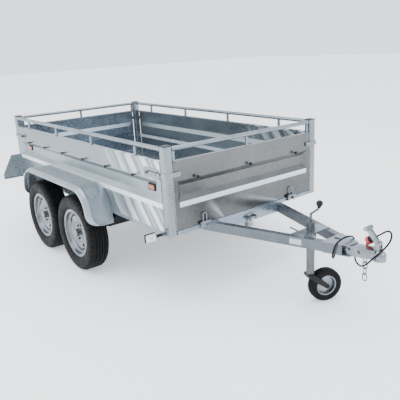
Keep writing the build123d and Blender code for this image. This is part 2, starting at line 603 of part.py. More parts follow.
HUB_FACE_Y = WHEEL_Y + WHEEL_OFFSET
ARM_OUT_Y = AXLE_HALF + ARM_GAP + ARM_THICKNESS
for end_name, wheel_x in AXLE_X.items():
    for side_name, side in SIDES.items():
        corner = f"{end_name}_{side_name}"
        axis = Axis((wheel_x, 0, WHEEL_RADIUS), (0, 1, 0))
        section_plane = Plane(origin=(wheel_x, 0, WHEEL_RADIUS), x_dir=(0, 1, 0), z_dir=(1, 0, 0))
        hub_plane = Plane(
            origin=(wheel_x, side * HUB_FACE_Y, WHEEL_RADIUS), x_dir=(1, 0, 0), z_dir=(0, side, 0)
        )

        def at(points):
            """Turn (distance outwards from the tyre's middle, radius) pairs into sketch points."""
            return [(side * (WHEEL_Y + across), radius) for across, radius in points]

        with BuildPart() as swing_arm:
            inner_y = side * (AXLE_HALF + ARM_GAP)
            pivot = (wheel_x + AXLE_LEAD, inner_y, AXLE_Z)
            with BuildSketch(Plane(origin=pivot, x_dir=(1, 0, 0), z_dir=(0, side, 0))):
                Circle(32)
                with Locations((-AXLE_LEAD, side * AXLE_RISE)):
                    Circle(28)
                make_hull()
            extrude(amount=ARM_THICKNESS)
            bar(pivot, (pivot[0], inner_y - side * SPIGOT_LENGTH, AXLE_Z), SPIGOT_RADIUS)
            stub_end = side * (HUB_FACE_Y - 6)
            bar((wheel_x, side * ARM_OUT_Y, WHEEL_RADIUS), (wheel_x, stub_end, WHEEL_RADIUS), STUB_AXLE_RADIUS)
        save(swing_arm, f"swing_arm_{corner}")

        with BuildPart() as tyre:
            bead = RIM_HALF - 6.5
            with BuildSketch(section_plane):
                with BuildLine():
                    half_section = [
                        (bead, BEAD_RADIUS + 1),
                        (bead, BEAD_RADIUS + 17),
                        (TYRE_HALF - 6, BEAD_RADIUS + 38),
                        (TYRE_HALF, BEAD_RADIUS + 66),
                        (TYRE_HALF - 4, WHEEL_RADIUS - 24),
                        (TYRE_HALF - 16, WHEEL_RADIUS - 6),
                        (TYRE_HALF - 28, WHEEL_RADIUS),
                    ]
                    inner_section = [
                        (TYRE_HALF - 30, WHEEL_RADIUS - 13),
                        (TYRE_HALF - 16, WHEEL_RADIUS - 26),
                        (TYRE_HALF - 10, BEAD_RADIUS + 66),
                        (TYRE_HALF - 16, BEAD_RADIUS + 40),
                        (bead - 10, BEAD_RADIUS + 10),
                        (bead - 10, BEAD_RADIUS + 1),
                    ]
                    mirrored = [(-a, r) for a, r in reversed(half_section)]
                    mirrored_inner = [(-a, r) for a, r in reversed(inner_section)]
                    Polyline(*at(half_section + mirrored + mirrored_inner + inner_section), close=True)
                make_face()
            revolve(axis=axis)
        save(tyre, f"tyre_{corner}")

        with BuildPart() as wheel:
            well = BEAD_RADIUS - 20
            with BuildSketch(section_plane):
                with BuildLine():
                    Polyline(
                        *at([
                            (-RIM_HALF, RIM_RADIUS), (-RIM_HALF + 6, RIM_RADIUS), (-RIM_HALF + 6, BEAD_RADIUS),
                            (-20, BEAD_RADIUS - 4), (-12, well), (28, well), (38, BEAD_RADIUS - 4),
                            (RIM_HALF - 6, BEAD_RADIUS), (RIM_HALF - 6, RIM_RADIUS), (RIM_HALF, RIM_RADIUS),
                            (RIM_HALF, BEAD_RADIUS - 3), (41, BEAD_RADIUS - 9), (31, well - 5),
                            (-14, well - 5), (-22, BEAD_RADIUS - 9), (-RIM_HALF, BEAD_RADIUS - 5),
                        ]),
                        close=True,
                    )
                make_face()
                with BuildLine():
                    face = WHEEL_OFFSET
                    Polyline(
                        *at([
                            (face, DISC_BORE_RADIUS), (face + DISC_THICKNESS, DISC_BORE_RADIUS),
                            (face + DISC_THICKNESS, 68), (face + 12, 80), (face + 16, 100), (face + 10, 125),
                            (face - 6, well - 2), (face - 12, well - 2), (face + 4, 124), (face + 10, 100),
                            (face + 6, 84), (face, 72),
                        ]),
                        close=True,
                    )
                make_face()
            revolve(axis=axis)
            with BuildSketch(hub_plane.offset(-20)):
                with PolarLocations(VENT_CIRCLE, VENTS, start_angle=45):
                    Circle(VENT_RADIUS)
                with PolarLocations(BOLT_CIRCLE, BOLTS):
                    Circle(BOLT_RADIUS + BOLT_CLEARANCE)
            extrude(amount=50, mode=Mode.SUBTRACT)
            # wheel bolts, tight on the disc and on the hub's flange
            head_radius, head_height = BOLT_HEAD
            with BuildSketch(hub_plane):
                with PolarLocations(BOLT_CIRCLE, BOLTS):
                    Circle(BOLT_RADIUS)
            extrude(amount=DISC_THICKNESS)
            with BuildSketch(hub_plane.offset(DISC_THICKNESS)):
                with PolarLocations(BOLT_CIRCLE, BOLTS):
                    RegularPolygon(head_radius, 6)
            extrude(amount=head_height)
            # hub with its bearing bore, flange and dust cap
            with BuildSketch(hub_plane.offset(-104)):
                Circle(HUB_BODY_RADIUS)
                Circle(STUB_AXLE_RADIUS + SPIN_CLEARANCE, mode=Mode.SUBTRACT)
            extrude(amount=94)
            with BuildSketch(hub_plane.offset(-10)):
                Circle(HUB_FLANGE_RADIUS)
                Circle(STUB_AXLE_RADIUS + SPIN_CLEARANCE, mode=Mode.SUBTRACT)
            extrude(amount=10)
            with BuildSketch(hub_plane):
                Circle(HUB_CAP_RADIUS)
            extrude(amount=32)
        save(wheel, f"wheel_{corner}")

# ---------------------------------------------------------------- drawbar
for side_name, side in SIDES.items():
    with BuildPart() as drawbar_arm:
        tip_x = FRONT_X + ARM_TIP
        bend_x = FRONT_X - (ARM_REAR_Y - ARM_FRONT_Y) / tan(radians(ARM_ANGLE))
        start = (REAR_X + BEAM_WIDTH / 4, side * ARM_REAR_Y, ARM_MID_Z)
        with BuildLine():
            Polyline(start, (bend_x, side * ARM_REAR_Y, ARM_MID_Z), (tip_x, side * arm_y(tip_x), ARM_MID_Z))
        with BuildSketch(Plane(origin=start, x_dir=(0, 1, 0), z_dir=(1, 0, 0))):
            Rectangle(ARM_WIDTH, ARM_HEIGHT)
            Rectangle(ARM_WIDTH - 2 * ARM_WALL, ARM_HEIGHT - 2 * ARM_WALL, mode=Mode.SUBTRACT)
        sweep(transition=Transition.RIGHT)
    save(drawbar_arm, f"drawbar_arm_{side_name}")

with BuildPart() as drawbar_plates:
    start_x = FRONT_X + APEX_START
    tip_x = FRONT_X + ARM_TIP
    end_x = BALL_X - COUPLING_TAIL + APEX_LAP
    for low_z in (ARM_TOP_Z, ARM_BOTTOM_Z - PLATE):
        with BuildSketch(Plane.XY.offset(low_z)):
            with BuildLine():
                outline = [(x, arm_y(x) + ARM_WIDTH / 2) for x in (start_x, tip_x)] + [(end_x, COUPLING_HALF + 8)]
                Polyline(*outline, *[(x, -y) for x, y in reversed(outline)], close=True)
            make_face()
            with Locations((start_x + 36, 0)):
                SlotOverall(42, 26, mode=Mode.SUBTRACT)
        extrude(amount=PLATE)
    # seat for the jockey sleeve, with its clamp collar under the plate
    with BuildSketch(Plane.XY.offset(ARM_TOP_Z)):
        with Locations((JOCKEY_X, 0)):
            Rectangle(JOCKEY_PLATE_LENGTH, 2 * JOCKEY_PLATE_HALF)
            Circle(JOCKEY_SLEEVE_RADIUS + WELD_GAP, mode=Mode.SUBTRACT)
    extrude(amount=PLATE)
    with BuildSketch(Plane.XY.offset(ARM_TOP_Z - 44)):
        with Locations((JOCKEY_X, 0)):
            Circle(JOCKEY_SLEEVE_RADIUS + 9)
            with Locations((-CLAMP_FORWARD / 2, 0)):
                Rectangle(CLAMP_FORWARD, 30)
            Circle(JOCKEY_SLEEVE_RADIUS + WELD_GAP, mode=Mode.SUBTRACT)
    extrude(amount=44)
    clamp_hole = [(JOCKEY_X - CLAMP_FORWARD - 1, 0, CLAMP_Z), (JOCKEY_X - JOCKEY_SLEEVE_RADIUS, 0, CLAMP_Z)]
    bar(*clamp_hole, CRANK_RADIUS + SPIN_CLEARANCE, mode=Mode.SUBTRACT)
save(drawbar_plates, "drawbar_plates")

with BuildPart() as front_lock:
    lock_x = FRONT_X
    lock_z = ARM_MID_Z
    block((lock_x, lock_x + PLATE), (-36, 36), (ARM_BOTTOM_Z + 4, ARM_TOP_Z - 4))
    for y in (-28, 28):
        block((lock_x + PLATE, lock_x + 34), (y - 4, y + 4), (lock_z - 14, lock_z + 14))
    bar((lock_x + 22, -50, lock_z), (lock_x + 22, 50, lock_z), 7)
    block((lock_x - BEAM_WIDTH / 2 - 18, lock_x - BEAM_WIDTH / 2 + 18), (-22, 22), (ARM_BOTTOM_Z - 42, ARM_BOTTOM_Z))
save(front_lock, "front_lock")

# ---------------------------------------------------------------- jockey wheel
with BuildPart() as jockey_sleeve:
    bar(
        (JOCKEY_X, 0, JOCKEY_SLEEVE_BOTTOM), (JOCKEY_X, 0, JOCKEY_SLEEVE_TOP), JOCKEY_SLEEVE_RADIUS, JOCKEY_SLEEVE_WALL
    )
    with BuildSketch(Plane.XY.offset(JOCKEY_SLEEVE_TOP - 5)):
        with Locations((JOCKEY_X, 0)):
            Circle(JOCKEY_SLEEVE_RADIUS + 4)
            Circle(CRANK_RADIUS + SPIN_CLEARANCE, mode=Mode.SUBTRACT)
    extrude(amount=5)
save(jockey_sleeve, "jockey_sleeve")

KINGPIN_RADIUS = 8.0
with BuildPart() as jockey_tube:
    tube_bottom = JOCKEY_SLEEVE_BOTTOM - 2
    bar((JOCKEY_X, 0, tube_bottom), (JOCKEY_X, 0, JOCKEY_SLEEVE_TOP - 24), JOCKEY_TUBE_RADIUS, 2.5)
    bar((JOCKEY_X, 0, FORK_HEAD_TOP + WELD_GAP), (JOCKEY_X, 0, tube_bottom), JOCKEY_SLEEVE_RADIUS + 2)
    bar((JOCKEY_X, 0, FORK_HEAD_BOTTOM), (JOCKEY_X, 0, FORK_HEAD_TOP + WELD_GAP), KINGPIN_RADIUS)
    nut_top = JOCKEY_SLEEVE_TOP - 26
    bar((JOCKEY_X, 0, nut_top - 22), (JOCKEY_X, 0, nut_top), JOCKEY_TUBE_RADIUS - 1)
    nut_hole = [(JOCKEY_X, 0, nut_top - 24), (JOCKEY_X, 0, nut_top + 2)]
    bar(*nut_hole, CRANK_RADIUS + SPIN_CLEARANCE, mode=Mode.SUBTRACT)
save(jockey_tube, "jockey_tube")

heading = radians(JOCKEY_HEADING)
ahead = Vector(cos(heading), sin(heading), 0)
across = Vector(-sin(heading), cos(heading), 0)
jockey_centre = Vector(JOCKEY_X, 0, JOCKEY_RADIUS) + ahead * JOCKEY_TRAIL
fork_plane = Plane(origin=(JOCKEY_X, 0, 0), x_dir=ahead, z_dir=-across)
with BuildPart() as jockey_fork:
    leg_in = JOCKEY_HALF + FORK_GAP
    head_mid_z = (FORK_HEAD_TOP + FORK_HEAD_BOTTOM) / 2
    head_height = FORK_HEAD_TOP - FORK_HEAD_BOTTOM
    with BuildSketch(fork_plane.offset(-leg_in)):
        with Locations((-5.5, head_mid_z)):
            Rectangle(37, head_height)
    extrude(amount=2 * leg_in)
    for turn in (-1, 1):
        with BuildSketch(fork_plane.offset(turn * leg_in)):
            with Locations((-5.5, head_mid_z)):
                Rectangle(37, head_height)
            with Locations((JOCKEY_TRAIL, JOCKEY_RADIUS)):
                Circle(15)
            make_hull()
        extrude(amount=turn * FORK_PLATE)
    axle_end = across * (leg_in + FORK_PLATE + 5)
    bar(jockey_centre - axle_end, jockey_centre + axle_end, 6)
    kingpin_hole = [(JOCKEY_X, 0, FORK_HEAD_BOTTOM - 1), (JOCKEY_X, 0, FORK_HEAD_TOP + 1)]
    bar(*kingpin_hole, KINGPIN_RADIUS + SPIN_CLEARANCE, mode=Mode.SUBTRACT)
save(jockey_fork, "jockey_fork")

jockey_section = Plane(origin=jockey_centre, x_dir=across, z_dir=ahead)
jockey_axis = Axis(jockey_centre, across)
UP = 1 if jockey_section.y_dir.Z > 0 else -1
with BuildPart() as jockey_rim:
    with BuildSketch(jockey_section):
        with BuildLine():
            Polyline(
                (-JOCKEY_HALF - 3, UP * 6.05), (JOCKEY_HALF + 3, UP * 6.05), (JOCKEY_HALF + 3, UP * 14),
                (3, UP * 14), (3, UP * 52), (24, UP * 60), (26, UP * JOCKEY_RIM_RADIUS),
                (-26, UP * JOCKEY_RIM_RADIUS), (-24, UP * 60), (-3, UP * 52), (-3, UP * 14),
                (-JOCKEY_HALF - 3, UP * 14), close=True,
            )
        make_face()
    revolve(axis=jockey_axis)
save(jockey_rim, "jockey_rim")

with BuildPart() as jockey_tyre:
    with BuildSketch(jockey_section):
        with Locations((0, UP * (JOCKEY_RIM_RADIUS + WELD_GAP + JOCKEY_RADIUS) / 2)):
            RectangleRounded(2 * JOCKEY_HALF, JOCKEY_RADIUS - JOCKEY_RIM_RADIUS - WELD_GAP, 14)
    revolve(axis=jockey_axis)
save(jockey_tyre, "jockey_tyre")

with BuildPart() as jockey_crank:
    bend = Vector(JOCKEY_X, 0, 586)
    arm_end = bend + Vector(56, 0, 44)
    knob_foot = arm_end + Vector(4, 0, 8)
    knob_centre = knob_foot + Vector(4, 0, 26)
    bar((JOCKEY_X, 0, 258), bend, CRANK_RADIUS)
    with Locations(bend):
        Sphere(CRANK_RADIUS)
    bar(bend, arm_end, CRANK_RADIUS - 1)
    bar(arm_end, knob_centre, 9)
    with Locations(knob_centre):
        Sphere(KNOB_RADIUS)
save(jockey_crank, "jockey_crank")

with BuildPart() as clamp_handle:
    seat_x = JOCKEY_X - JOCKEY_SLEEVE_RADIUS - 1
    elbow = Vector(JOCKEY_X - CLAMP_FORWARD - 22, 0, CLAMP_Z)
    bar((seat_x, 0, CLAMP_Z), elbow, CRANK_RADIUS)
    with Locations(elbow):
        Sphere(CRANK_RADIUS)
    bar(elbow, elbow + Vector(-104, 0, 12), CRANK_RADIUS - 2)
save(clamp_handle, "clamp_handle")

# ---------------------------------------------------------------- coupling
tail_x = BALL_X - COUPLING_TAIL
cup_radius = BALL_RADIUS + BALL_CLEARANCE + CUP_WALL
with BuildPart() as coupling_body:
    with BuildSketch(Plane(origin=(0, COUPLING_HALF, 0), x_dir=(1, 0, 0), z_dir=(0, -1, 0))):
        with BuildLine():
            Polyline(
                (tail_x, ARM_BOTTOM_Z), (tail_x, ARM_TOP_Z), (tail_x + APEX_LAP, ARM_TOP_Z),
                (BALL_X - 12, BALL_Z + 33), (BALL_X - 12, BALL_Z - 17), (tail_x + APEX_LAP, ARM_BOTTOM_Z),
                close=True,
            )
        make_face()
    extrude(amount=2 * COUPLING_HALF)
    with BuildSketch(Plane(origin=(0, COUPLING_HALF - COUPLING_WALL, 0), x_dir=(1, 0, 0), z_dir=(0, -1, 0))):
        with BuildLine():
            Polyline(
                (tail_x - 1, ARM_BOTTOM_Z - 1), (tail_x - 1, ARM_TOP_Z - COUPLING_WALL),
                (tail_x + APEX_LAP, ARM_TOP_Z - COUPLING_WALL), (BALL_X - 44, BALL_Z + 27),
                (BALL_X - 44, ARM_BOTTOM_Z - 1), close=True,
            )
        make_face()
    extrude(amount=2 * (COUPLING_HALF - COUPLING_WALL), mode=Mode.SUBTRACT)
    with Locations((BALL_X, 0, BALL_Z)):
        Sphere(cup_radius)
    bar((BALL_X, 0, BALL_Z - 25), (BALL_X, 0, BALL_Z), cup_radius)
    # everything under the cup's rim and the ball's own space
    block((BALL_X - 50, BALL_X + 50), (-50, 50), (BALL_Z - 25, BALL_Z - 60), Mode.SUBTRACT)
    socket_radius = BALL_RADIUS + BALL_CLEARANCE
    with Locations((BALL_X, 0, BALL_Z)):
        Sphere(socket_radius, mode=Mode.SUBTRACT)
    bar((BALL_X, 0, BALL_Z - 30), (BALL_X, 0, BALL_Z), socket_radius, mode=Mode.SUBTRACT)
    # ears and pin of the release handle
    for turn in (-1, 1):
        ear_y = (turn * 15, turn * 20)
        block((HANDLE_X - 14, HANDLE_X + 14), ear_y, (BALL_Z + 28, HANDLE_Z))
        bar((HANDLE_X, turn * 15, HANDLE_Z), (HANDLE_X, turn * 20, HANDLE_Z), 14)
    bar((HANDLE_X, -22, HANDLE_Z), (HANDLE_X, 22, HANDLE_Z), HANDLE_PIN_RADIUS)
    # eye for the safety chain, under the body
    eye_z = BALL_Z - 67
    eye_arc = (LINK_WIDTH - 2 * LINK_WIRE) / 2
    body_z = ARM_BOTTOM_Z + (CHAIN_X - tail_x - APEX_LAP) * 0.1
    for turn in (-1, 1):
        bar((CHAIN_X, turn * eye_arc, eye_z + eye_arc), (CHAIN_X, turn * eye_arc, body_z + 2), LINK_WIRE)
    with BuildSketch(Plane(origin=(CHAIN_X, eye_arc, eye_z + eye_arc))):
        Circle(LINK_WIRE)
    revolve(axis=Axis((CHAIN_X, 0, eye_z + eye_arc), (1, 0, 0)), revolution_arc=-180)
    block((CHAIN_X - 9, CHAIN_X + 9), (-COUPLING_HALF, COUPLING_HALF), (body_z, body_z + 5))
save(coupling_body, "coupling_body")

with BuildPart() as coupling_bolts:
    for bolt_x in (tail_x + 24, tail_x + 86):
        for side in SIDES.values():
            face_y = side * COUPLING_HALF
            bar((bolt_x, face_y, BALL_Z - 4), (bolt_x, face_y + side * 3, BALL_Z - 4), 13)
            with BuildSketch(Plane(origin=(bolt_x, face_y + side * 3, BALL_Z - 4), z_dir=(0, side, 0))):
                RegularPolygon(9, 6)
            extrude(amount=7)
save(coupling_bolts, "coupling_bolts")

with BuildPart() as coupling_handle:
    lean = radians(HANDLE_LEAN)
    grip = Vector(HANDLE_X - HANDLE_LENGTH * sin(lean), 0, HANDLE_Z + HANDLE_LENGTH * cos(lean))
    bar((HANDLE_X, -14, HANDLE_Z), (HANDLE_X, 14, HANDLE_Z), 14)
    handle_plane = Plane(origin=(HANDLE_X, 14, HANDLE_Z), x_dir=(-sin(lean), 0, cos(lean)), z_dir=(0, -1, 0))
    with BuildSketch(handle_plane):
        with Locations((HANDLE_LENGTH / 2, 0)):
            Rectangle(HANDLE_LENGTH, 20)
    extrude(amount=28)
    with BuildSketch(handle_plane.offset(5)):
        with Locations((HANDLE_LENGTH / 2, 0)):
            Rectangle(HANDLE_LENGTH - 40, 22)
    extrude(amount=18, mode=Mode.SUBTRACT)
    bar(grip - Vector(0, 30, 0), grip + Vector(0, 30, 0), 12)
    bar((HANDLE_X, -20, HANDLE_Z), (HANDLE_X, 20, HANDLE_Z), HANDLE_PIN_RADIUS + PIN_CLEARANCE, mode=Mode.SUBTRACT)
save(coupling_handle, "coupling_handle")

# ---------------------------------------------------------------- safety chain
link_arc = (LINK_WIDTH - 2 * LINK_WIRE) / 2
link_leg = (LINK_LENGTH - LINK_WIDTH) / 2
link_pitch = LINK_LENGTH - 4 * LINK_WIRE - LINK_SLACK
for number in (1, 2, 3):
    top_z = BALL_Z - 67 + 2 * LINK_WIRE + LINK_SLACK - (number - 1) * link_pitch
    link_centre = (CHAIN_X, 0, top_z - link_arc - link_leg)
    in_drive_plane = number % 2 == 1
    link_plane = Plane(
        origin=link_centre,
        x_dir=(1, 0, 0) if in_drive_plane else (0, 1, 0),
        z_dir=(0, -1, 0) if in_drive_plane else (1, 0, 0),
    )
    with BuildPart() as chain_link:
        with BuildLine(link_plane) as ring:
            CenterArc((0, link_leg), link_arc, 0, 180)
            Line((-link_arc, link_leg), (-link_arc, -link_leg))
            CenterArc((0, -link_leg), link_arc, 180, 180)
            Line((link_arc, -link_leg), (link_arc, link_leg))
        link_path = Wire(ring.edges())
        with BuildSketch(Plane(origin=link_path @ 0, z_dir=link_path % 0)):
            Circle(LINK_WIRE)
        sweep(path=link_path)
    save(chain_link, f"chain_link_{number}")

# ---------------------------------------------------------------- electric lead
gland_x = 650.0  # body face to where the lead leaves the inside of the right-hand arm
gland_face = Vector(FRONT_X + gland_x, ARM_WIDTH / 2 / cos(radians(ARM_ANGLE)) - arm_y(FRONT_X + gland_x), 440)
gland_out = Vector(-sin(radians(ARM_ANGLE)), cos(radians(ARM_ANGLE)), 0)
lead_route = [
    (646, 5, 434), (662, 22, 419), (686, 22, 399), (706, 2, 384), (726, -30, 376), (742, -64, 382),
    (756, -86, 408), (766, -90, 446), (773, -80, 482), (779, -48, 502), (783, -8, 507), (783, 34, 504),
    (781, 70, 487), (782, 88, 454), (788, 82, 414), (806, 52, 386), (836, 18, 375), (872, -12, 374),
    (908, -36, 378), (942, -54, 396), (972, -58, 426), (1000, -56, 460), (1028, -46, 494),
    (1050, -28, 526), (1062, -4, 558), (1054, 20, 586), (1030, 36, 596), (1002, 42, 584), (976, 42, 562),
    (952, 42, 544),
]
lead_points = [gland_face + gland_out * reach for reach in (GLAND_LENGTH, GLAND_LENGTH + 26)]
lead_points += [Vector(FRONT_X + x, y, z) for x, y, z in lead_route]
lead_runs = [(b - a) for a, b in zip(lead_points, lead_points[1:])]
lead_radii = []
for before, after in zip(lead_runs, lead_runs[1:]):
    half_turn = radians(before.get_angle(after)) / 2
    lead_radii.append(0.45 * min(before.length, after.length) / tan(half_turn))
with BuildPart() as electric_lead:
    with BuildLine() as lead_line:
        FilletPolyline(*lead_points, radius=lead_radii)
    lead_wire = Wire(lead_line.edges())
    with BuildSketch(Plane(origin=lead_points[0], z_dir=lead_runs[0])):
        Circle(LEAD_RADIUS)
    sweep(path=lead_wire)
save(electric_lead, "electric_lead")
print("lead length", round(lead_wire.length, 1))
print("lead radii", [round(radius) for radius in lead_radii])
print("lead runs", [round(run.length) for run in lead_runs])

with BuildPart() as lead_gland:
    bar(gland_face, lead_points[0], 9)
save(lead_gland, "lead_gland")

plug_axis = lead_runs[-1].normalized()
plug_end = lead_points[-1] + plug_axis * PLUG_LENGTH
with BuildPart() as lead_plug:
    bar(lead_points[-1], lead_points[-1] + plug_axis * 14, 11)
    bar(lead_points[-1] + plug_axis * 14, plug_end, PLUG_RADIUS)
save(lead_plug, "lead_plug")

with BuildPart() as plug_holder:
    holder_back = plug_end + plug_axis * 5
    bar(plug_end - plug_axis * 14, holder_back, PLUG_RADIUS + 4)
    bar(plug_end - plug_axis * 15, plug_end, PLUG_RADIUS, mode=Mode.SUBTRACT)
    block((holder_back.X - 8, holder_back.X + 8), (COUPLING_HALF, COUPLING_HALF + 4), (BALL_Z + 13, holder_back.Z))
save(plug_holder, "plug_holder")
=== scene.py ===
"""Looks of the tandem-axle box trailer: finishes, tyres, guards, lamps, lead and studio, in metres."""

import logging
from dataclasses import dataclass, field
from enum import Enum
from math import atan2, cos, radians, sin, sqrt, tau
from typing import Any, Callable, Sequence

import bmesh
import bpy
from mathutils import Matrix, Vector


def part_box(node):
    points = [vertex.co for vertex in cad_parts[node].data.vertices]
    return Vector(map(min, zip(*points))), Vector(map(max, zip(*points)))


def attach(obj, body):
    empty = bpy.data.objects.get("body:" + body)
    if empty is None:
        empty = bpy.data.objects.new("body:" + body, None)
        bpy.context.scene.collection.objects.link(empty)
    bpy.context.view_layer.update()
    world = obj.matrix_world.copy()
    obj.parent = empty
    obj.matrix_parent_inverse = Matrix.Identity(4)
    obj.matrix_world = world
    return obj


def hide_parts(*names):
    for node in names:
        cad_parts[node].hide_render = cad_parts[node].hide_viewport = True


LOG = logging.getLogger("trailer")
Colour = tuple[float, float, float]
Material = bpy.types.Material
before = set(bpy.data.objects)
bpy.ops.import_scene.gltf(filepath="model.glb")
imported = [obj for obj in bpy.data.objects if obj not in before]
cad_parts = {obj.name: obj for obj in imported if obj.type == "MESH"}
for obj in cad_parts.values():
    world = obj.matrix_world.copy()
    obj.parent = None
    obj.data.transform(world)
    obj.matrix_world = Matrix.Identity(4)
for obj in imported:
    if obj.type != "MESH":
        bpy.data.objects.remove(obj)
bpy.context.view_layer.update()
FRONT = 0.747
ARM_ROOT_Y = 0.285
ARM_HALF_WIDTH = 0.020
ARM_SLANT = radians(17.5)
POST = 0.058


class Side(Enum):
    """Left and right of the trailer, as the sign of Y."""

    LEFT = 1
    RIGHT = -1

    @property
    def word(self) -> str:
        """The side's word in node names."""
        return self.name.lower()


class Corner(Enum):
    """The four corners, by the ending of their node names."""

    FRONT_LEFT = "front_left"
    FRONT_RIGHT = "front_right"
    REAR_LEFT = "rear_left"
    REAR_RIGHT = "rear_right"


# ---- shader maths


class Channel:
    """A socket that takes part in Python expressions; each operator adds its Math node."""

    def __init__(self, sheet: "MaterialSheet", socket: bpy.types.NodeSocket) -> None:
        """Wrap one output socket of a sheet."""
        self.sheet = sheet
        self.socket = socket

    def _math(self, operation: str, *values: Any) -> "Channel":
        """Add a Math node for values and give its result."""
        made = self.sheet.node("ShaderNodeMath", {"operation": operation}, dict(enumerate(values)))
        return Channel(self.sheet, made.outputs[0])

    def __add__(self, other: Any) -> "Channel":
        """self + other."""
        return self._math("ADD", self, other)

    def __sub__(self, other: Any) -> "Channel":
        """self - other."""
        return self._math("SUBTRACT", self, other)

    def __rsub__(self, other: Any) -> "Channel":
        """other - self."""
        return self._math("SUBTRACT", other, self)

    def __mul__(self, other: Any) -> "Channel":
        """self times other."""
        return self._math("MULTIPLY", self, other)

    def above(self, level: float) -> "Channel":
        """1 where the value is over a level, else 0."""
        return self._math("GREATER_THAN", self, level)

    def size(self) -> "Channel":
        """The value without its sign."""
        return self._math("ABSOLUTE", self)

    def wave(self) -> "Channel":
        """The sine of the value, in radians."""
        return self._math("SINE", self)


class MaterialSheet:
    """One material under construction, with a Principled shader at its end."""

    def __init__(self, name: str) -> None:
        """Start an empty material of that name."""
        self.material = bpy.data.materials.new(name)
        self.material.use_nodes = True
        self.tree = self.material.node_tree
        self.tree.nodes.clear()
        self.shader = self.node("ShaderNodeBsdfPrincipled")
        self.node("ShaderNodeOutputMaterial", {}, {"Surface": self.shader.outputs[0]})

    def node(
        self, kind: str, settings: dict[str, Any] | None = None, inputs: dict | None = None
    ) -> bpy.types.Node:
        """Add a node.

        Args:
            kind: the node's type.
            settings: its properties, set first.
            inputs: values or links of its sockets, by name or number.

        Returns:
            The new node.
        """
        made = self.tree.nodes.new(kind)
        for key, value in (settings or {}).items():
            setattr(made, key, value)
        for key, value in (inputs or {}).items():
            self.plug(made.inputs[key], value)
        return made

    def plug(self, socket: bpy.types.NodeSocket, value: Any) -> None:
        """Link a channel or socket to a socket, or set its constant."""
        if isinstance(value, Channel):
            self.tree.links.new(value.socket, socket)
        elif isinstance(value, bpy.types.NodeSocket):
            self.tree.links.new(value, socket)
        elif isinstance(value, tuple) and len(value) == 3 and socket.type == "RGBA":
            socket.default_value = (*value, 1.0)
        else:
            socket.default_value = value

    def set(self, **values: Any) -> None:
        """Set the Principled shader's sockets; underscores stand for spaces."""
        for key, value in values.items():
            self.plug(self.shader.inputs[key.replace("_", " ")], value)

    def place(self, scale: tuple[float, float, float] = (1, 1, 1)) -> bpy.types.NodeSocket:
        """Object coordinates, stretched along X, Y and Z."""
        source = self.node("ShaderNodeTexCoord").outputs["Object"]
        mapped = self.node("ShaderNodeMapping", {}, {"Vector": source, "Scale": scale})
        return mapped.outputs[0]

    def axes(self) -> tuple[Channel, Channel, Channel]:
        """Object coordinates as three channels."""
        split = self.node("ShaderNodeSeparateXYZ", {}, {0: self.place()})
        return tuple(Channel(self, out) for out in split.outputs)

    def noise(self, scale: float, detail: float = 3.0, vector: Any = None, rough: float = 0.5) -> Channel:
        """A noise pattern between 0 and 1."""
        inputs = {"Vector": vector or self.place(), "Scale": scale, "Detail": detail, "Roughness": rough}
        return Channel(self, self.node("ShaderNodeTexNoise", {}, inputs).outputs[0])

    def cells(self, scale: float) -> Channel:
        """A random value for each Voronoi cell, like the crystals of hot-dip zinc."""
        made = self.node("ShaderNodeTexVoronoi", {"feature": "F1"}, {"Vector": self.place(), "Scale": scale})
        split = self.node("ShaderNodeSeparateColor", {}, {0: made.outputs["Color"]})
        return Channel(self, split.outputs[0])

    def spread(
        self, value: Channel, low: float, high: float, to_low: float = 0.0, to_high: float = 1.0
    ) -> Channel:
        """Stretch a value from one span to another, held at the ends."""
        inputs = {0: value, 1: low, 2: high, 3: to_low, 4: to_high}
        return Channel(self, self.node("ShaderNodeMapRange", {"clamp": True}, inputs).outputs[0])

    def band(self, value: Channel, low: float, high: float, soft: float) -> Channel:
        """1 between two levels, fading to 0 over a soft margin outside them."""
        return self.spread(value, low - soft, low, 0.0, 1.0) * self.spread(value, high, high + soft, 1.0, 0.0)

    def glint(self, across: Channel, up: Channel, foot: tuple, head: tuple, width: float) -> Channel:
        """A soft line of painted highlight that widens and fades from its foot to its head.

        Args:
            across: horizontal coordinate.
            up: vertical coordinate.
            foot: where it starts, in those coordinates.
            head: where it has faded.
            width: half width at the head.

        Returns:
            Its strength, 0 to 1.
        """
        run = (head[0] - foot[0], head[1] - foot[1])
        length = sqrt(run[0] ** 2 + run[1] ** 2)
        away, rise = across - foot[0], up - foot[1]
        along = away * (run[0] / length) + rise * (run[1] / length)
        off = (away * (run[1] / length) - rise * (run[0] / length)).size()
        reach = self.spread(along, 0.0, length, 0.25 * width, width)
        core = self.spread(off - reach, -width, 0.0, 1.0, 0.0)
        return core * self.spread(along, 0.0, length, 1.0, 0.0) * self.spread(along, -0.02, 0.0, 0.0, 1.0)

    def blend(self, factor: Any, first: Any, second: Any) -> bpy.types.NodeSocket:
        """Mix two colours by a factor."""
        made = self.node("ShaderNodeMix", {"data_type": "RGBA"}, {0: factor, 6: first, 7: second})
        return made.outputs[2]

    def bump(self, height: Channel, strength: float, distance: float) -> None:
        """Give the shader a bump from a height channel."""
        made = self.node("ShaderNodeBump", {}, {"Height": height, "Strength": strength, "Distance": distance})
        self.set(Normal=made.outputs[0])


# ---- finishes


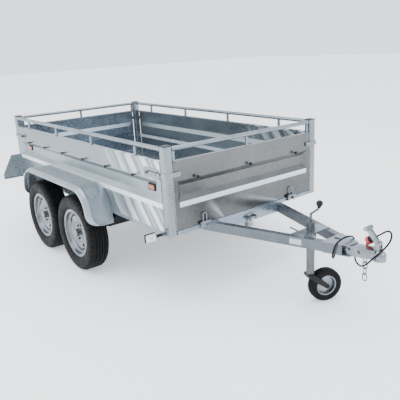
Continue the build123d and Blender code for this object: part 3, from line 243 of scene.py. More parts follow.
@dataclass(frozen=True)
class Galvanised:
    """Hot-dip zinc: crystals, soft cloudy patches and faint run-off streaks."""

    name: str
    dark: Colour = (0.36, 0.39, 0.42)
    light: Colour = (0.66, 0.69, 0.72)
    crystal: float = 55.0
    roughness: float = 0.36
    metallic: float = 0.72
    streaks: float = 0.5

    def build(self) -> Material:
        """Make the material."""
        sheet = MaterialSheet(self.name)
        crystal = sheet.cells(self.crystal)
        cloud = sheet.spread(sheet.noise(3.2, 4), 0.3, 0.7)
        run = sheet.spread(sheet.noise(9.0, 2, sheet.place((1.0, 1.0, 0.12))), 0.35, 0.65, 0.0, 1.0)
        tone = crystal * 0.16 + cloud * 0.46 + run * (0.34 * self.streaks) + 0.12
        grain = crystal * 0.5 + cloud * 0.5
        sheet.set(
            Base_Color=sheet.blend(tone, self.dark, self.light),
            Metallic=self.metallic,
            Roughness=sheet.spread(grain, 0.0, 1.0, self.roughness - 0.07, self.roughness + 0.12),
        )
        sheet.bump(sheet.noise(260.0, 2) * 0.4 + crystal * 0.6, 0.05, 0.0006)
        return sheet.material


@dataclass(frozen=True)
class ShowSide(Galvanised):
    """Galvanised sheet of the body's outside, with slanting bands of painted reflection near its front end, a
    painted highlight on its ledge and its pressed field painted lighter as painted light.
    """

    band_from: float = -0.05
    bright: Colour = (0.86, 0.90, 0.93)

    def build(self) -> Material:
        """Make the material."""
        sheet = MaterialSheet(self.name)
        x, _, z = sheet.axes()
        crystal = sheet.cells(self.crystal)
        cloud = sheet.spread(sheet.noise(2.4, 4), 0.3, 0.7)
        warp = sheet.noise(3.0, 2) * 5.0
        # Painted reflection: slanting light bands on the flat parts near the front end, mixed towards the
        # light colour.
        reflection_bands = sheet.spread(((x + z * 0.80) * 40.0 + warp).wave(), 0.0, 0.8)
        thin_reflection_bands = sheet.spread(((x + z * 0.70) * 90.0 + warp * 1.7).wave(), 0.2, 0.8)
        ahead = sheet.spread(x, self.band_from, self.band_from + 0.40, 0.0, 1.0)
        recess = sheet.band(z, 0.679, 0.812, 0.02)
        flat = 1.0 - recess
        painted_reflection = (reflection_bands * 0.62 + thin_reflection_bands * 0.30) * ahead * flat
        # recess * 0.24 paints the pressed field lighter than the sheet around it: painted light.
        tone = crystal * 0.12 + cloud * 0.26 + recess * 0.24 + 0.22
        # Painted highlight: the upward-facing ledge band is painted in the light colour and made less
        # metallic.
        ledge_highlight = sheet.band(z, 0.648, 0.677, 0.003)
        base = sheet.blend(tone, self.dark, self.light)
        sheet.set(
            Base_Color=sheet.blend(sheet.spread(painted_reflection + ledge_highlight * 0.9, 0.0, 1.0), base, self.bright),
            Metallic=sheet.spread(ledge_highlight + painted_reflection, 0.0, 1.0, self.metallic, 0.25),
            Roughness=sheet.spread(cloud, 0.0, 1.0, self.roughness - 0.05, self.roughness + 0.12),
        )
        sheet.bump(sheet.noise(220.0, 2), 0.04, 0.0006)
        return sheet.material


@dataclass(frozen=True)
class ShowGate(Galvanised):
    """Galvanised sheet of the hinged ends: dark grey tones as painted shade, lighter towards the top as
    painted light, a painted highlight on the ledge and two painted glints over the drawbar.
    """

    bright: Colour = (0.74, 0.82, 0.93)

    def build(self) -> Material:
        """Make the material."""
        sheet = MaterialSheet(self.name)
        x, y, z = sheet.axes()
        crystal = sheet.cells(self.crystal)
        cloud = sheet.spread(sheet.noise(3.0, 4), 0.3, 0.7)
        # Painted light: the sheet's tone rises towards the top, so its upper part is painted lighter.
        rise = sheet.spread(z, 0.50, 0.94, 0.0, 0.34)
        tone = crystal * 0.14 + cloud * 0.34 + rise + 0.08
        # Painted reflection: two soft glints painted over the drawbar, below the ledge and only on the front
        # face.
        near = sheet.glint(y, z, (-0.235, 0.500), (-0.370, 0.660), 0.045)
        far = sheet.glint(y, z, (0.270, 0.505), (-0.150, 0.625), 0.040)
        # Painted highlight: the ledge band is painted in the light colour and made less metallic.
        ledge_highlight = sheet.band(z, 0.647, 0.677, 0.003) * sheet.band(y.size(), -1.0, 0.575, 0.004)
        lower = sheet.spread(z, 0.640, 0.655, 1.0, 0.0)
        glint = (near * 0.85 + far * 0.60) * lower * x.above(0.0)
        base = sheet.blend(tone, self.dark, self.light)
        sheet.set(
            Base_Color=sheet.blend(sheet.spread(glint + ledge_highlight * 0.92, 0.0, 1.0), base, self.bright),
            Metallic=sheet.spread(ledge_highlight, 0.0, 1.0, self.metallic, 0.15),
            Roughness=sheet.spread(cloud, 0.0, 1.0, self.roughness - 0.05, self.roughness + 0.10),
        )
        sheet.bump(sheet.noise(240.0, 2) * 0.5 + crystal * 0.5, 0.04, 0.0005)
        return sheet.material


@dataclass(frozen=True)
class Paint:
    """Paint, enamel, plating or plastic with faint orange peel and patches of a second tone."""

    name: str
    base: Colour
    patchy: Colour
    roughness: float = 0.4
    metallic: float = 0.0
    coat: float = 0.0
    shine: float = 0.5

    def build(self) -> Material:
        """Make the material."""
        sheet = MaterialSheet(self.name)
        patch = sheet.spread(sheet.noise(14.0, 5), 0.35, 0.75)
        sheet.set(
            Base_Color=sheet.blend(patch, self.base, self.patchy),
            Metallic=self.metallic,
            Roughness=sheet.spread(patch, 0.0, 1.0, self.roughness, self.roughness + 0.16),
            Coat_Weight=self.coat,
            Coat_Roughness=0.15,
            Specular_IOR_Level=self.shine,
        )
        sheet.bump(sheet.noise(420.0, 2), 0.05, 0.0004)
        return sheet.material


@dataclass(frozen=True)
class TyreRubber:
    """Tyre rubber: near black with slightly dusty patches."""

    name: str

    def build(self) -> Material:
        """Make the material."""
        sheet = MaterialSheet(self.name)
        dust = sheet.spread(sheet.noise(22.0, 5), 0.4, 0.8)
        sheet.set(
            Base_Color=sheet.blend(dust, (0.004, 0.004, 0.0045), (0.011, 0.011, 0.012)),
            Roughness=sheet.spread(dust, 0.0, 1.0, 0.52, 0.78),
            Specular_IOR_Level=0.12,
        )
        sheet.bump(sheet.noise(600.0, 2), 0.12, 0.0006)
        return sheet.material


@dataclass(frozen=True)
class Lens:
    """A moulded lamp lens with fine prisms under a glossy skin."""

    name: str
    base: Colour
    deep: Colour
    pitch: float = 900.0

    def build(self) -> Material:
        """Make the material."""
        sheet = MaterialSheet(self.name)
        _, y, z = sheet.axes()
        prism = (y * self.pitch).wave() * (z * self.pitch).wave() * 0.5 + 0.5
        sheet.set(
            Base_Color=sheet.blend(prism, self.deep, self.base),
            Roughness=0.18,
            Coat_Weight=0.7,
            Coat_Roughness=0.05,
        )
        sheet.bump(prism, 0.25, 0.0008)
        return sheet.material


def built(recipe: Any) -> Any:
    """A dataclass field that holds the material of a recipe."""
    return field(default_factory=recipe.build)


@dataclass(frozen=True)
class Finishes:
    """Every finish of the trailer, built once."""

    sheet: Material = built(
        ShowSide("galvanised_side", (0.15, 0.175, 0.19), (0.36, 0.41, 0.435), 50, 0.27, 0.85)
    )
    # Painted shade: the front end's galvanised sheet gets much darker tones than the side sheet.
    gate: Material = built(
        ShowGate("galvanised_gate", (0.080, 0.084, 0.087), (0.195, 0.20, 0.203), 40, 0.24, 0.9)
    )
    bed: Material = built(
        Galvanised("galvanised_bed", (0.15, 0.185, 0.225), (0.31, 0.37, 0.435), 26, 0.26, 0.8, 1.0)
    )
    tube: Material = built(
        Galvanised("galvanised_tube", (0.155, 0.175, 0.195), (0.345, 0.39, 0.42), 70, 0.26, 0.85)
    )
    guard: Material = built(
        Galvanised("galvanised_guard", (0.255, 0.295, 0.32), (0.36, 0.415, 0.445), 60, 0.30, 0.75)
    )
    drawbar: Material = built(
        Galvanised("galvanised_drawbar", (0.085, 0.095, 0.11), (0.18, 0.20, 0.225), 65, 0.28, 0.85)
    )
    zinc: Material = built(
        Paint("bright_zinc", (0.29, 0.32, 0.34), (0.13, 0.145, 0.16), 0.20, 0.95)
    )
    dark_zinc: Material = built(
        Paint("dull_zinc", (0.095, 0.105, 0.11), (0.16, 0.175, 0.18), 0.38, 0.75)
    )
    black: Material = built(
        Paint("black_paint", (0.006, 0.006, 0.007), (0.018, 0.018, 0.02), 0.45, shine=0.2)
    )
    enamel: Material = built(
        Paint("silver_enamel", (0.20, 0.22, 0.24), (0.10, 0.11, 0.125), 0.22, 0.85, 0.2)
    )
    rubber: Material = built(TyreRubber("tyre_rubber"))
    plastic: Material = built(
        Paint("black_plastic", (0.005, 0.005, 0.0055), (0.013, 0.013, 0.014), 0.36, shine=0.25)
    )
    sheath: Material = built(
        Paint("cable_sheath", (0.004, 0.004, 0.005), (0.010, 0.010, 0.012), 0.45, shine=0.15)
    )
    red: Material = built(
        Paint("red_plastic", (0.55, 0.05, 0.06), (0.42, 0.05, 0.06), 0.35, coat=0.3)
    )
    red_lens: Material = built(Lens("red_lens", (0.6, 0.03, 0.03), (0.32, 0.01, 0.015)))
    amber_lens: Material = built(Lens("amber_lens", (0.50, 0.115, 0.012), (0.24, 0.045, 0.006)))
    white_lens: Material = built(Lens("white_lens", (0.80, 0.82, 0.82), (0.55, 0.58, 0.60)))
    plate: Material = built(
        Paint("pale_plate", (0.62, 0.66, 0.66), (0.48, 0.53, 0.53), 0.4, 0.3)
    )


# ---- mesh building


class Piece:
    """A bmesh that becomes one object at the origin."""

    def __init__(self, name: str) -> None:
        """Start an empty piece of that name."""
        self.name = name
        self.mesh = bmesh.new()

    def tube(
        self, start: Vector, end: Vector, radius: float, end_radius: float | None = None, sides: int = 24
    ) -> list:
        """Add a closed round bar or cone between two points.

        Args:
            start: middle of the first end.
            end: middle of the other end.
            radius: radius at the start.
            end_radius: radius at the end, if another.
            sides: facets round it.

        Returns:
            Its vertices.
        """
        run = end - start
        turned = run.to_track_quat("Z", "Y").to_matrix().to_4x4()
        place = Matrix.Translation((start + end) / 2) @ turned
        made = bmesh.ops.create_cone(
            self.mesh, cap_ends=True, segments=sides, radius1=radius,
            radius2=radius if end_radius is None else end_radius, depth=run.length, matrix=place,
        )
        return made["verts"]

    def ball(self, centre: Vector, radius: float, stretch: tuple[float, float, float] = (1, 1, 1)) -> list:
        """Add a ball, stretched along the axes."""
        place = Matrix.Translation(centre) @ Matrix.Diagonal((*stretch, 1))
        made = bmesh.ops.create_uvsphere(self.mesh, u_segments=28, v_segments=18, radius=radius, matrix=place)
        return made["verts"]

    def slab(self, low: Vector, high: Vector, round_by: float = 0.0, segments: int = 2) -> list:
        """Add a block between two corners with rounded edges.

        Args:
            low: its lowest corner.
            high: its highest corner.
            round_by: bevel width, 0 for sharp edges.
            segments: bevel segments.

        Returns:
            Its faces.
        """
        before = set(self.mesh.faces)
        size = Matrix.Diagonal((*(high - low), 1))
        made = bmesh.ops.create_cube(self.mesh, size=1.0, matrix=Matrix.Translation((low + high) / 2) @ size)
        if round_by:
            edges = list({e for v in made["verts"] for e in v.link_edges})
            bmesh.ops.bevel(
                self.mesh, geom=edges, offset=round_by, segments=segments, profile=0.5, affect="EDGES",
                material=-1,
            )
        return [f for f in self.mesh.faces if f not in before]

    def set_down(self, faces: Sequence[Any], place: Matrix) -> None:
        """Move faces that were made about the origin to their place."""
        bmesh.ops.transform(self.mesh, matrix=place, verts=list({v for f in faces for v in f.verts}))

    def lathe(
        self, outline: Sequence[tuple[float, float]], centre: Vector, axis: Vector, out: Vector, steps: int
    ) -> list:
        """Spin an outline of (along axis, radius) pairs all the way round.

        Args:
            outline: the section, a closed loop when its first and last pair meet.
            centre: where the section's zero lies on the axis.
            axis: direction of the axis.
            out: direction of the radius at the start.
            steps: facets round the axis.

        Returns:
            The new faces.
        """
        before = set(self.mesh.faces)
        verts = [self.mesh.verts.new(centre + axis * a + out * r) for a, r in outline[:-1]]
        if outline[0] == outline[-1]:
            pairs = zip(verts, verts[1:] + verts[:1])
        else:
            verts.append(self.mesh.verts.new(centre + axis * outline[-1][0] + out * outline[-1][1]))
            pairs = zip(verts, verts[1:])
        edges = [self.mesh.edges.new(pair) for pair in pairs]
        bmesh.ops.spin(
            self.mesh, geom=verts + edges, cent=centre, axis=axis, angle=tau, steps=steps, use_merge=True
        )
        return [f for f in self.mesh.faces if f not in before]

    def sheet(self, across: int, along: int, place: Callable[[float, float], Vector]) -> list:
        """Add a grid and lay it out by a rule.

        Args:
            across: cells in the first direction.
            along: cells in the second direction.
            place: gives a point from two values between 0 and 1.

        Returns:
            Its faces.
        """
        made = bmesh.ops.create_grid(self.mesh, x_segments=across, y_segments=along, size=1.0)
        for vert in made["verts"]:
            vert.co = place((vert.co.x + 1) / 2, (vert.co.y + 1) / 2)
        return list({f for v in made["verts"] for f in v.link_faces})

    def finish(
        self, body: str, *finishes: Material, smooth: float = 35.0, merge: float = 1e-5
    ) -> bpy.types.Object:
        """Turn the bmesh into an object that rides on a body.

        Args:
            body: the CAD body it moves with.
            finishes: its materials, in the order of its material numbers.
            smooth: largest angle in degrees that is shaded smooth.
            merge: distance under which vertices are joined.

        Returns:
            The new object.
        """
        bmesh.ops.remove_doubles(self.mesh, verts=self.mesh.verts[:], dist=merge)
        bmesh.ops.recalc_face_normals(self.mesh, faces=self.mesh.faces[:])
        data = bpy.data.meshes.new(self.name)
        for face in self.mesh.faces:
            face.smooth = True
        for edge in self.mesh.edges:
            edge.smooth = len(edge.link_faces) == 2 and edge.calc_face_angle(0.0) < radians(smooth)
        self.mesh.to_mesh(data)
        self.mesh.free()
        made = shown(self.name, data)
        for one in finishes:
            data.materials.append(one)
        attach(made, body)
        LOG.info("%s: %d faces on %s", self.name, len(data.polygons), body)
        return made


def shown(name: str, data: bpy.types.ID) -> bpy.types.Object:
    """An object for some data, linked into the scene."""
    made = bpy.data.objects.new(name, data)
    bpy.context.scene.collection.objects.link(made)
    return made


def middle(node: str) -> Vector:
    """The middle of a CAD node's box."""
    low, high = (Vector(corner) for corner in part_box(node))
    return (low + high) / 2


def corners_of(node: str) -> tuple[Vector, Vector]:
    """The lowest and highest corner of a CAD node's box."""
    low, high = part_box(node)
    return Vector(low), Vector(high)


def arm_y(run: float) -> float:
    """Distance of a drawbar arm from the centre line, a run ahead of the front beam."""
    return ARM_ROOT_Y - run * sin(ARM_SLANT) / cos(ARM_SLANT)


def tinted(faces: Sequence[Any], number: int) -> None:
    """Give faces a material number."""
    for face in faces:
        face.material_index = number


# ---- studio


@dataclass
class Studio:
    """Camera, soft lights and a pale floor."""

    eye: Vector = field(default_factory=lambda: Vector((3.184, -2.288, 1.587)))
    heading: float = radians(142.03)
    tilt: float = radians(-16.69)
    roll: float = radians(-2.91)
    lens: float = 46.25
    shift: tuple[float, float] = (-0.01295, -0.00303)

    def camera(self) -> None:
        """Put the camera at its place and make it the scene's camera."""
        level = cos(self.tilt)
        ahead = Vector((level * cos(self.heading), level * sin(self.heading), sin(self.tilt)))
        right = ahead.cross(Vector((0, 0, 1))).normalized()
        up = right.cross(ahead)
        right, up = cos(self.roll) * right + sin(self.roll) * up, cos(self.roll) * up - sin(self.roll) * right
        data = bpy.data.cameras.new("studio_camera")
        data.lens = self.lens
        data.sensor_width = 36.0
        data.shift_x, data.shift_y = self.shift
        data.clip_end = 60.0
        holder = shown("studio_camera", data)
        turned = Matrix((right, up, -ahead)).transposed().to_4x4()
        holder.matrix_world = Matrix.Translation(self.eye) @ turned
        bpy.context.scene.camera = holder

    def light(
        self, name: str, place: Vector, target: Vector, size: tuple[float, float], power: float, tint: Colour
    ) -> None:
        """Add a soft rectangular light.

        Args:
            name: the light's name.
            place: where it hangs.
            target: the point it faces.
            size: its width and height.
            power: in watts.
            tint: its colour.
        """
        data = bpy.data.lights.new(name, "AREA")
        data.shape = "RECTANGLE"
        data.size, data.size_y = size
        data.energy = power
        data.color = tint
        holder = shown(name, data)
        turned = (target - place).to_track_quat("-Z", "Y").to_matrix().to_4x4()
        holder.matrix_world = Matrix.Translation(place) @ turned

    def build(self) -> None:
        """Make the world, lights, floor and camera."""
        world = bpy.data.worlds.new("studio_world")
        world.use_nodes = True
        world.node_tree.nodes["Background"].inputs[0].default_value = (0.89, 0.945, 1.0, 1.0)
        world.node_tree.nodes["Background"].inputs[1].default_value = 1.95
        bpy.context.scene.world = world
        body = Vector((-0.4, 0, 0.6))
        self.light("overhead", Vector((-0.5, 0.0, 5.5)), body, (6.0, 5.0), 240, (0.93, 0.96, 1.0))
        self.light("near_side", Vector((-2.8, -5.0, 2.4)), body, (5.0, 3.0), 120, (0.93, 0.97, 1.0))
        self.light("front_fill", Vector((5.0, 1.2, 2.6)), body, (3.0, 2.4), 34, (0.88, 0.95, 1.0))
        ground = Piece("studio_floor")
        ground.slab(Vector((-40, -40, -0.05)), Vector((40, 40, 0.0)))
        floor_sheet = MaterialSheet("pale_floor")
        speck = floor_sheet.noise(1.5, 3)
        floor_sheet.set(
            Base_Color=floor_sheet.blend(speck, (0.93, 0.935, 0.94), (0.955, 0.955, 0.955)),
            Roughness=0.9,
            Emission_Color=(1.0, 1.0, 1.0),
            Emission_Strength=0.5,
        )
        bmesh.ops.recalc_face_normals(ground.mesh, faces=ground.mesh.faces[:])
        data = bpy.data.meshes.new("studio_floor")
        ground.mesh.to_mesh(data)
        ground.mesh.free()
        holder = shown("studio_floor", data)
        data.materials.append(floor_sheet.material)
        self.camera()
        LOG.info("studio ready")


# ---- electric lead


@dataclass
class ElectricLead:
    """The plug lead, its gland on the drawbar arm and its plug in the holder."""

    finishes: Finishes
    radius: float = 0.005
    length: float = 1.159
    gland_run: float = 0.650
    route: tuple[tuple[int, int, int], ...] = (
        (646, 5, 434), (662, 22, 419), (686, 22, 399), (706, 2, 384), (726, -30, 376), (742, -64, 382),
        (756, -86, 408), (766, -90, 446), (773, -80, 482), (779, -48, 502), (783, -8, 507), (783, 34, 504),
        (781, 70, 487), (782, 88, 454), (788, 82, 414), (806, 52, 386), (836, 18, 375), (872, -12, 374),
        (908, -36, 378), (942, -54, 396), (972, -58, 426), (1000, -56, 460), (1028, -46, 494),
        (1050, -28, 526), (1062, -4, 558), (1054, 20, 586), (1030, 36, 596), (1002, 42, 584), (976, 42, 562),
        (952, 42, 544),
    )

    def points(self) -> list[Vector]:
        """The route's points, from the gland's mouth to the plug."""
        face_y = ARM_HALF_WIDTH / cos(ARM_SLANT) - arm_y(self.gland_run)
        face = Vector((FRONT + self.gland_run, face_y, 0.440))
        out = Vector((-sin(ARM_SLANT), cos(ARM_SLANT), 0))
        first = [face + out * reach for reach in (0.014, 0.040)]
        return first + [Vector((FRONT + x / 1000, y / 1000, z / 1000)) for x, y, z in self.route]

    def cable(self) -> bpy.types.Object:
        """Lay the sheath along the route."""
        points = self.points()
        data = bpy.data.curves.new("lead_cable", "CURVE")
        data.dimensions = "3D"
        spline = data.splines.new("NURBS")
        spline.points.add(len(points) - 1)
        for control, point in zip(spline.points, points):
            control.co = (*point, 1.0)
        spline.order_u = 3
        spline.use_endpoint_u = True
        spline.resolution_u = 8
        data.bevel_depth = self.radius
        data.bevel_resolution = 5
        data.use_fill_caps = True
        made = shown("lead_cable", data)
        data.materials.append(self.finishes.sheath)
        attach(made, "chassis")
        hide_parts("electric_lead")
        return made

    def gland(self) -> None:
        """The cable gland: a hexagon nut and a tapered sleeve."""
        start, after = self.points()[:2]
        out = (after - start).normalized()
        root = start - out * 0.014
        piece = Piece("lead_gland_nut")
        piece.tube(root, root + out * 0.005, 0.0096, sides=6)
        outline = [(0.005, 0.0088), (0.010, 0.0084), (0.0135, 0.0068), (0.0140, 0.0056)]
        piece.lathe(
            [(0.005, 0.0052), *outline, (0.0140, 0.0052), (0.005, 0.0052)], root, out, Vector((0, 0, 1)), 28
        )
        made = piece.finish("chassis", self.finishes.plastic)
        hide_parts("lead_gland")

    def plug(self) -> bpy.types.Object:
        """The plug: a boot over the sheath, a ribbed grip and a front collar."""
        points = self.points()
        along = (points[-1] - points[-2]).normalized()
        side = along.cross(Vector((0, 1, 0))).normalized()
        start = points[-1]
        piece = Piece("lead_plug_body")
        boot = [
            (0.0, 0.0051), (0.0, 0.0072), (0.003, 0.0085), (0.005, 0.0078), (0.007, 0.0098), (0.009, 0.0088),
        ]
        grip = [(0.011, 0.0108), (0.014, 0.0112), (0.015, 0.0168)]
        for rib in range(5):
            at = 0.018 + rib * 0.0046
            grip += [(at, 0.0186), (at + 0.0016, 0.0192), (at + 0.0030, 0.0186), (at + 0.0036, 0.0178)]
        collar = [(0.0425, 0.0198), (0.047, 0.0200), (0.0605, 0.0200), (0.062, 0.0190), (0.062, 0.0)]
        piece.lathe([*boot, *grip, *collar], start, along, side, 40)
        for turn in range(12):
            angle = tau * turn / 12
            out = side * cos(angle) + along.cross(side) * sin(angle)
            root = start + out * 0.0182
            piece.tube(root + along * 0.018, root + along * 0.040, 0.0013, sides=6)
        made = piece.finish("chassis", self.finishes.plastic)
        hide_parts("lead_plug")
        return made

    def build(self) -> None:
        cable, plug = self.cable(), self.plug()
        self.gland()
        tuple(self.points()[0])
        LOG.info("lead ready")


# ---- wheels


@dataclass
class RoadTyre:
    """One road tyre with a blocked tread, shoulder lugs and sidewall rings."""

    finishes: Finishes
    corner: Corner
    steps: int = 84
    block_gap: float = 0.0011
    block_height: float = 0.0024
    lug_gap: float = 0.0012
    lug_depth: float = 0.0022

    def outline(self) -> list[tuple[float, float]]:
        """The closed section as (across, radius) pairs."""
        side = [
            (0.0555, 0.1670), (0.0575, 0.1760), (0.0600, 0.1840), (0.0660, 0.1945), (0.0700, 0.2010),
            (0.0712, 0.2018), (0.0735, 0.2110), (0.0755, 0.2210), (0.0770, 0.2330), (0.0773, 0.2350),
            (0.0766, 0.2440), (0.0752, 0.2540), (0.0728, 0.2640), (0.0735, 0.2650), (0.0690, 0.2760),
            (0.0630, 0.2822), (0.0560, 0.2850),
        ]
        tread = [
            (0.0520, 0.2852), (0.0360, 0.2856), (0.0345, 0.2805), (0.0315, 0.2805), (0.0300, 0.2858),
            (0.0125, 0.2859), (0.0112, 0.2805), (0.0080, 0.2805), (0.0067, 0.2860),
        ]
        inside = [
            (0.0480, 0.2740), (0.0610, 0.2610), (0.0660, 0.2330), (0.0600, 0.2060), (0.0460, 0.1760),
            (0.0455, 0.1670),
        ]
        half = side + tread
        other = [(-a, r) for a, r in reversed(half)]
        return half + other + [(-a, r) for a, r in reversed(inside)] + inside + [half[0]]

    def build(self) -> None:
        """Make the tyre."""
        suffix = self.corner.value
        centre = middle(f"tyre_{suffix}")
        piece = Piece(f"tyre_tread_{suffix}")
        faces = piece.lathe(self.outline(), centre, Vector((0, 1, 0)), Vector((0, 0, -1)), self.steps)
        blocks = [f for f in faces if self._is_tread(f.calc_center_median() - centre)]
        bmesh.ops.recalc_face_normals(piece.mesh, faces=piece.mesh.faces[:])
        bmesh.ops.inset_individual(
            piece.mesh, faces=blocks, thickness=self.block_gap, depth=self.block_height
        )
        shoulder = [f for f in piece.mesh.faces if self._is_shoulder(f.calc_center_median() - centre)]
        lugs = [f for f in shoulder if self._step(f.calc_center_median() - centre) % 2 == 0]
        bmesh.ops.inset_individual(piece.mesh, faces=lugs, thickness=self.lug_gap, depth=-self.lug_depth)
        made = piece.finish(f"wheel_{suffix}", self.finishes.rubber, smooth=28)
        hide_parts(f"tyre_{suffix}")

    def _step(self, arm: Vector) -> int:
        """Which facet round the axle a point is on."""
        return int((atan2(arm.x, arm.z) % tau) / tau * self.steps)

    def _is_tread(self, arm: Vector) -> bool:
        """Whether a face lies on the tread's ribs."""
        radius = sqrt(arm.x**2 + arm.z**2)
        return abs(arm.y) < 0.053 and radius > 0.2848

    def _is_shoulder(self, arm: Vector) -> bool:
        """Whether a face lies on the rounded shoulder."""
        radius = sqrt(arm.x**2 + arm.z**2)
        return 0.0545 < abs(arm.y) < 0.0722 and 0.266 < radius < 0.2862


# ---- mudguards


@dataclass
class Mudguard:
    """One long guard over two wheels: swept crown, rolled outer edge and rounded lower corners."""

    finishes: Finishes
    side: Side
    mid_x: float = -0.578
    flat_half: float = 0.415
    bend: float = 0.190
    lean: float = radians(12.0)
    top: float = 0.672
    bottom: float = 0.405
    corner: float = 0.095
    gauge: float = 0.002
    section: tuple[tuple[float, float], ...] = (
        (0.670, 0.004), (0.676, 0.000), (0.740, 0.000), (0.812, 0.000), (0.820, -0.001), (0.826, -0.004),
        (0.832, -0.005), (0.838, -0.004), (0.843, -0.001), (0.849, 0.001), (0.856, 0.004), (0.862, 0.009),
        (0.866, 0.016), (0.868, 0.026),
    )

    def path(self) -> list[tuple[Vector, Vector, float]]:
        """Points of one half of the crown line, each with its outward normal and the distance run."""
        places: list[tuple[Vector, Vector, float]] = []
        turn = radians(90.0) - self.lean
        for step in range(9):
            places.append((Vector((self.flat_half * step / 9, 0, self.top)), Vector((0, 0, 1)), 0.0))
        for step in range(17):
            angle = turn * step / 16
            out = Vector((sin(angle), 0, cos(angle)))
            places.append((Vector((self.flat_half, 0, self.top - self.bend)) + out * self.bend, out, 0.0))
        foot, out, _ = places[-1]
        ahead = Vector((out.z, 0, -out.x))
        drop = (foot.z - self.bottom) / -ahead.z
        for step in range(1, 15):
            places.append((foot + ahead * drop * step / 14, out, 0.0))
        length, run = 0.0, []
        for index, (point, normal, _) in enumerate(places):
            length += (point - places[index - 1][0]).length if index else 0.0
            run.append((point, normal, length))
        return run

    def build(self) -> None:
        """Make the guard."""
        half = self.path()
        whole = [(Vector((-p.x, 0, p.z)), Vector((-n.x, 0, n.z)), d) for p, n, d in reversed(half[1:])] + half
        total = half[-1][2]
        inner_y = self.section[0][0]

        def place(u: float, v: float) -> Vector:
            """A point of the skin from its share across the section and along the path."""
            point, normal, run = whole[min(round(v * (len(whole) - 1)), len(whole) - 1)]
            y, drop = self.section[round(u * (len(self.section) - 1))]
            left = total - run
            cut = 0.0
            if left < self.corner:
                cut = self.corner - sqrt(max(self.corner**2 - (self.corner - left) ** 2, 0.0))
            reach = (self.section[-1][0] - inner_y - cut) / (self.section[-1][0] - inner_y)
            spot = point - normal * drop
            return Vector((self.mid_x + spot.x, self.side.value * (inner_y + (y - inner_y) * reach), spot.z))

        piece = Piece(f"mudguard_skin_{self.side.word}")
        faces = piece.sheet(len(self.section) - 1, len(whole) - 1, place)
        bmesh.ops.recalc_face_normals(piece.mesh, faces=faces)
        up = sum(f.normal.z * f.calc_area() for f in faces)
        if up < 0:
            bmesh.ops.reverse_faces(piece.mesh, faces=faces)
        bmesh.ops.solidify(piece.mesh, geom=piece.mesh.faces[:], thickness=self.gauge)
        made = piece.finish("chassis", self.finishes.guard, smooth=40)
        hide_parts(f"mudguard_{self.side.word}")


# ---- lamps and reflectors


@dataclass
class Lamps:
    """Front markers, rear lamps and side reflectors."""

    finishes: Finishes

    def markers(self) -> None:
        """The two front markers: rubber arm, dark back and a rounded lens held by one screw."""
        piece = Piece("marker_lamp_pair")
        low, high = corners_of("marker_lamps")
        for side in Side:
            y_low, y_high = sorted(side.value * reach for reach in (0.705, high.y))
            base = Vector((low.x, y_low, low.z)), Vector((low.x + 0.010, y_high, high.z))
            tinted(piece.slab(*base, round_by=0.004), 0)
            lens = (
                Vector((low.x + 0.009, y_low + 0.003, low.z + 0.003)),
                Vector((high.x, y_high - 0.003, high.z - 0.003)),
            )
            tinted(piece.slab(*lens, round_by=0.010, segments=4), 1)
            rim = (
                Vector((low.x + 0.008, y_low + 0.001, low.z + 0.001)),
                Vector((low.x + 0.012, y_high - 0.001, high.z - 0.001)),
            )
            tinted(piece.slab(*rim, round_by=0.001), 0)
            arm_low, arm_high = sorted(side.value * reach for reach in (0.634, 0.712))
            under = Vector((low.x + 0.005, arm_low, 0.460)), Vector((low.x + 0.025, arm_high, 0.476))
            tinted(piece.slab(*under, round_by=0.003), 0)
            centre = Vector((high.x - 0.001, side.value * 0.744, (low.z + high.z) / 2))
            piece.tube(centre, centre + Vector((0.0022, 0, 0)), 0.0045, sides=16)
        made = piece.finish("chassis", self.finishes.plastic, self.finishes.white_lens, smooth=50)
        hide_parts("marker_lamps")

    def rear(self) -> None:
        """The two rear lamps: dark case with red, amber and white windows."""
        piece = Piece("rear_lamp_pair")
        low, high = corners_of("rear_lamps")
        for side in Side:
            y_low, y_high = sorted(side.value * reach for reach in (0.692, 0.792))
            case = Vector((high.x - 0.014, y_low, low.z)), Vector((high.x, y_high, high.z))
            tinted(piece.slab(*case, round_by=0.005, segments=3), 0)
            step = (y_high - y_low - 0.008) / 2
            panes = ((0, 0.004, 0.058, 1), (1, 0.004, 0.058, 2), (0, 0.062, 0.096, 3), (1, 0.062, 0.096, 1))
            for column, foot, head, number in panes:
                pane_y = y_low + 0.004 + column * step
                pane_low = Vector((low.x, pane_y, low.z + foot))
                pane_high = Vector((high.x - 0.012, pane_y + step - 0.001, low.z + head))
                tinted(piece.slab(pane_low, pane_high, round_by=0.003, segments=2), number)
        finishes = self.finishes
        glasses = (finishes.red_lens, finishes.amber_lens, finishes.white_lens)
        made = piece.finish("chassis", finishes.plastic, *glasses, smooth=50)
        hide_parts("rear_lamps")

    def reflectors(self) -> None:
        """Four side reflectors: dark frame round an amber lens."""
        piece = Piece("side_reflector_set")
        low, high = corners_of("side_reflectors")
        length = 0.080
        border = Vector((0.006, 0, 0.006))
        for x in (low.x, high.x - length):
            for side in Side:
                y_low, y_high = sorted(side.value * reach for reach in (0.645, high.y))
                frame_low = Vector((x, y_low, low.z))
                frame_high = Vector((x + length, y_high, high.z))
                tinted(piece.slab(frame_low, frame_high, round_by=0.003), 0)
                shift = Vector((0, side.value * 0.0015, 0))
                lens = frame_low + border + shift, frame_high - border + shift
                tinted(piece.slab(*lens, round_by=0.002), 1)
        made = piece.finish("chassis", self.finishes.plastic, self.finishes.amber_lens, smooth=50)
        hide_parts("side_reflectors")

    def build(self) -> None:
        """Make every lamp."""
        self.markers()
        self.rear()
        self.reflectors()


# ---- jockey wheel


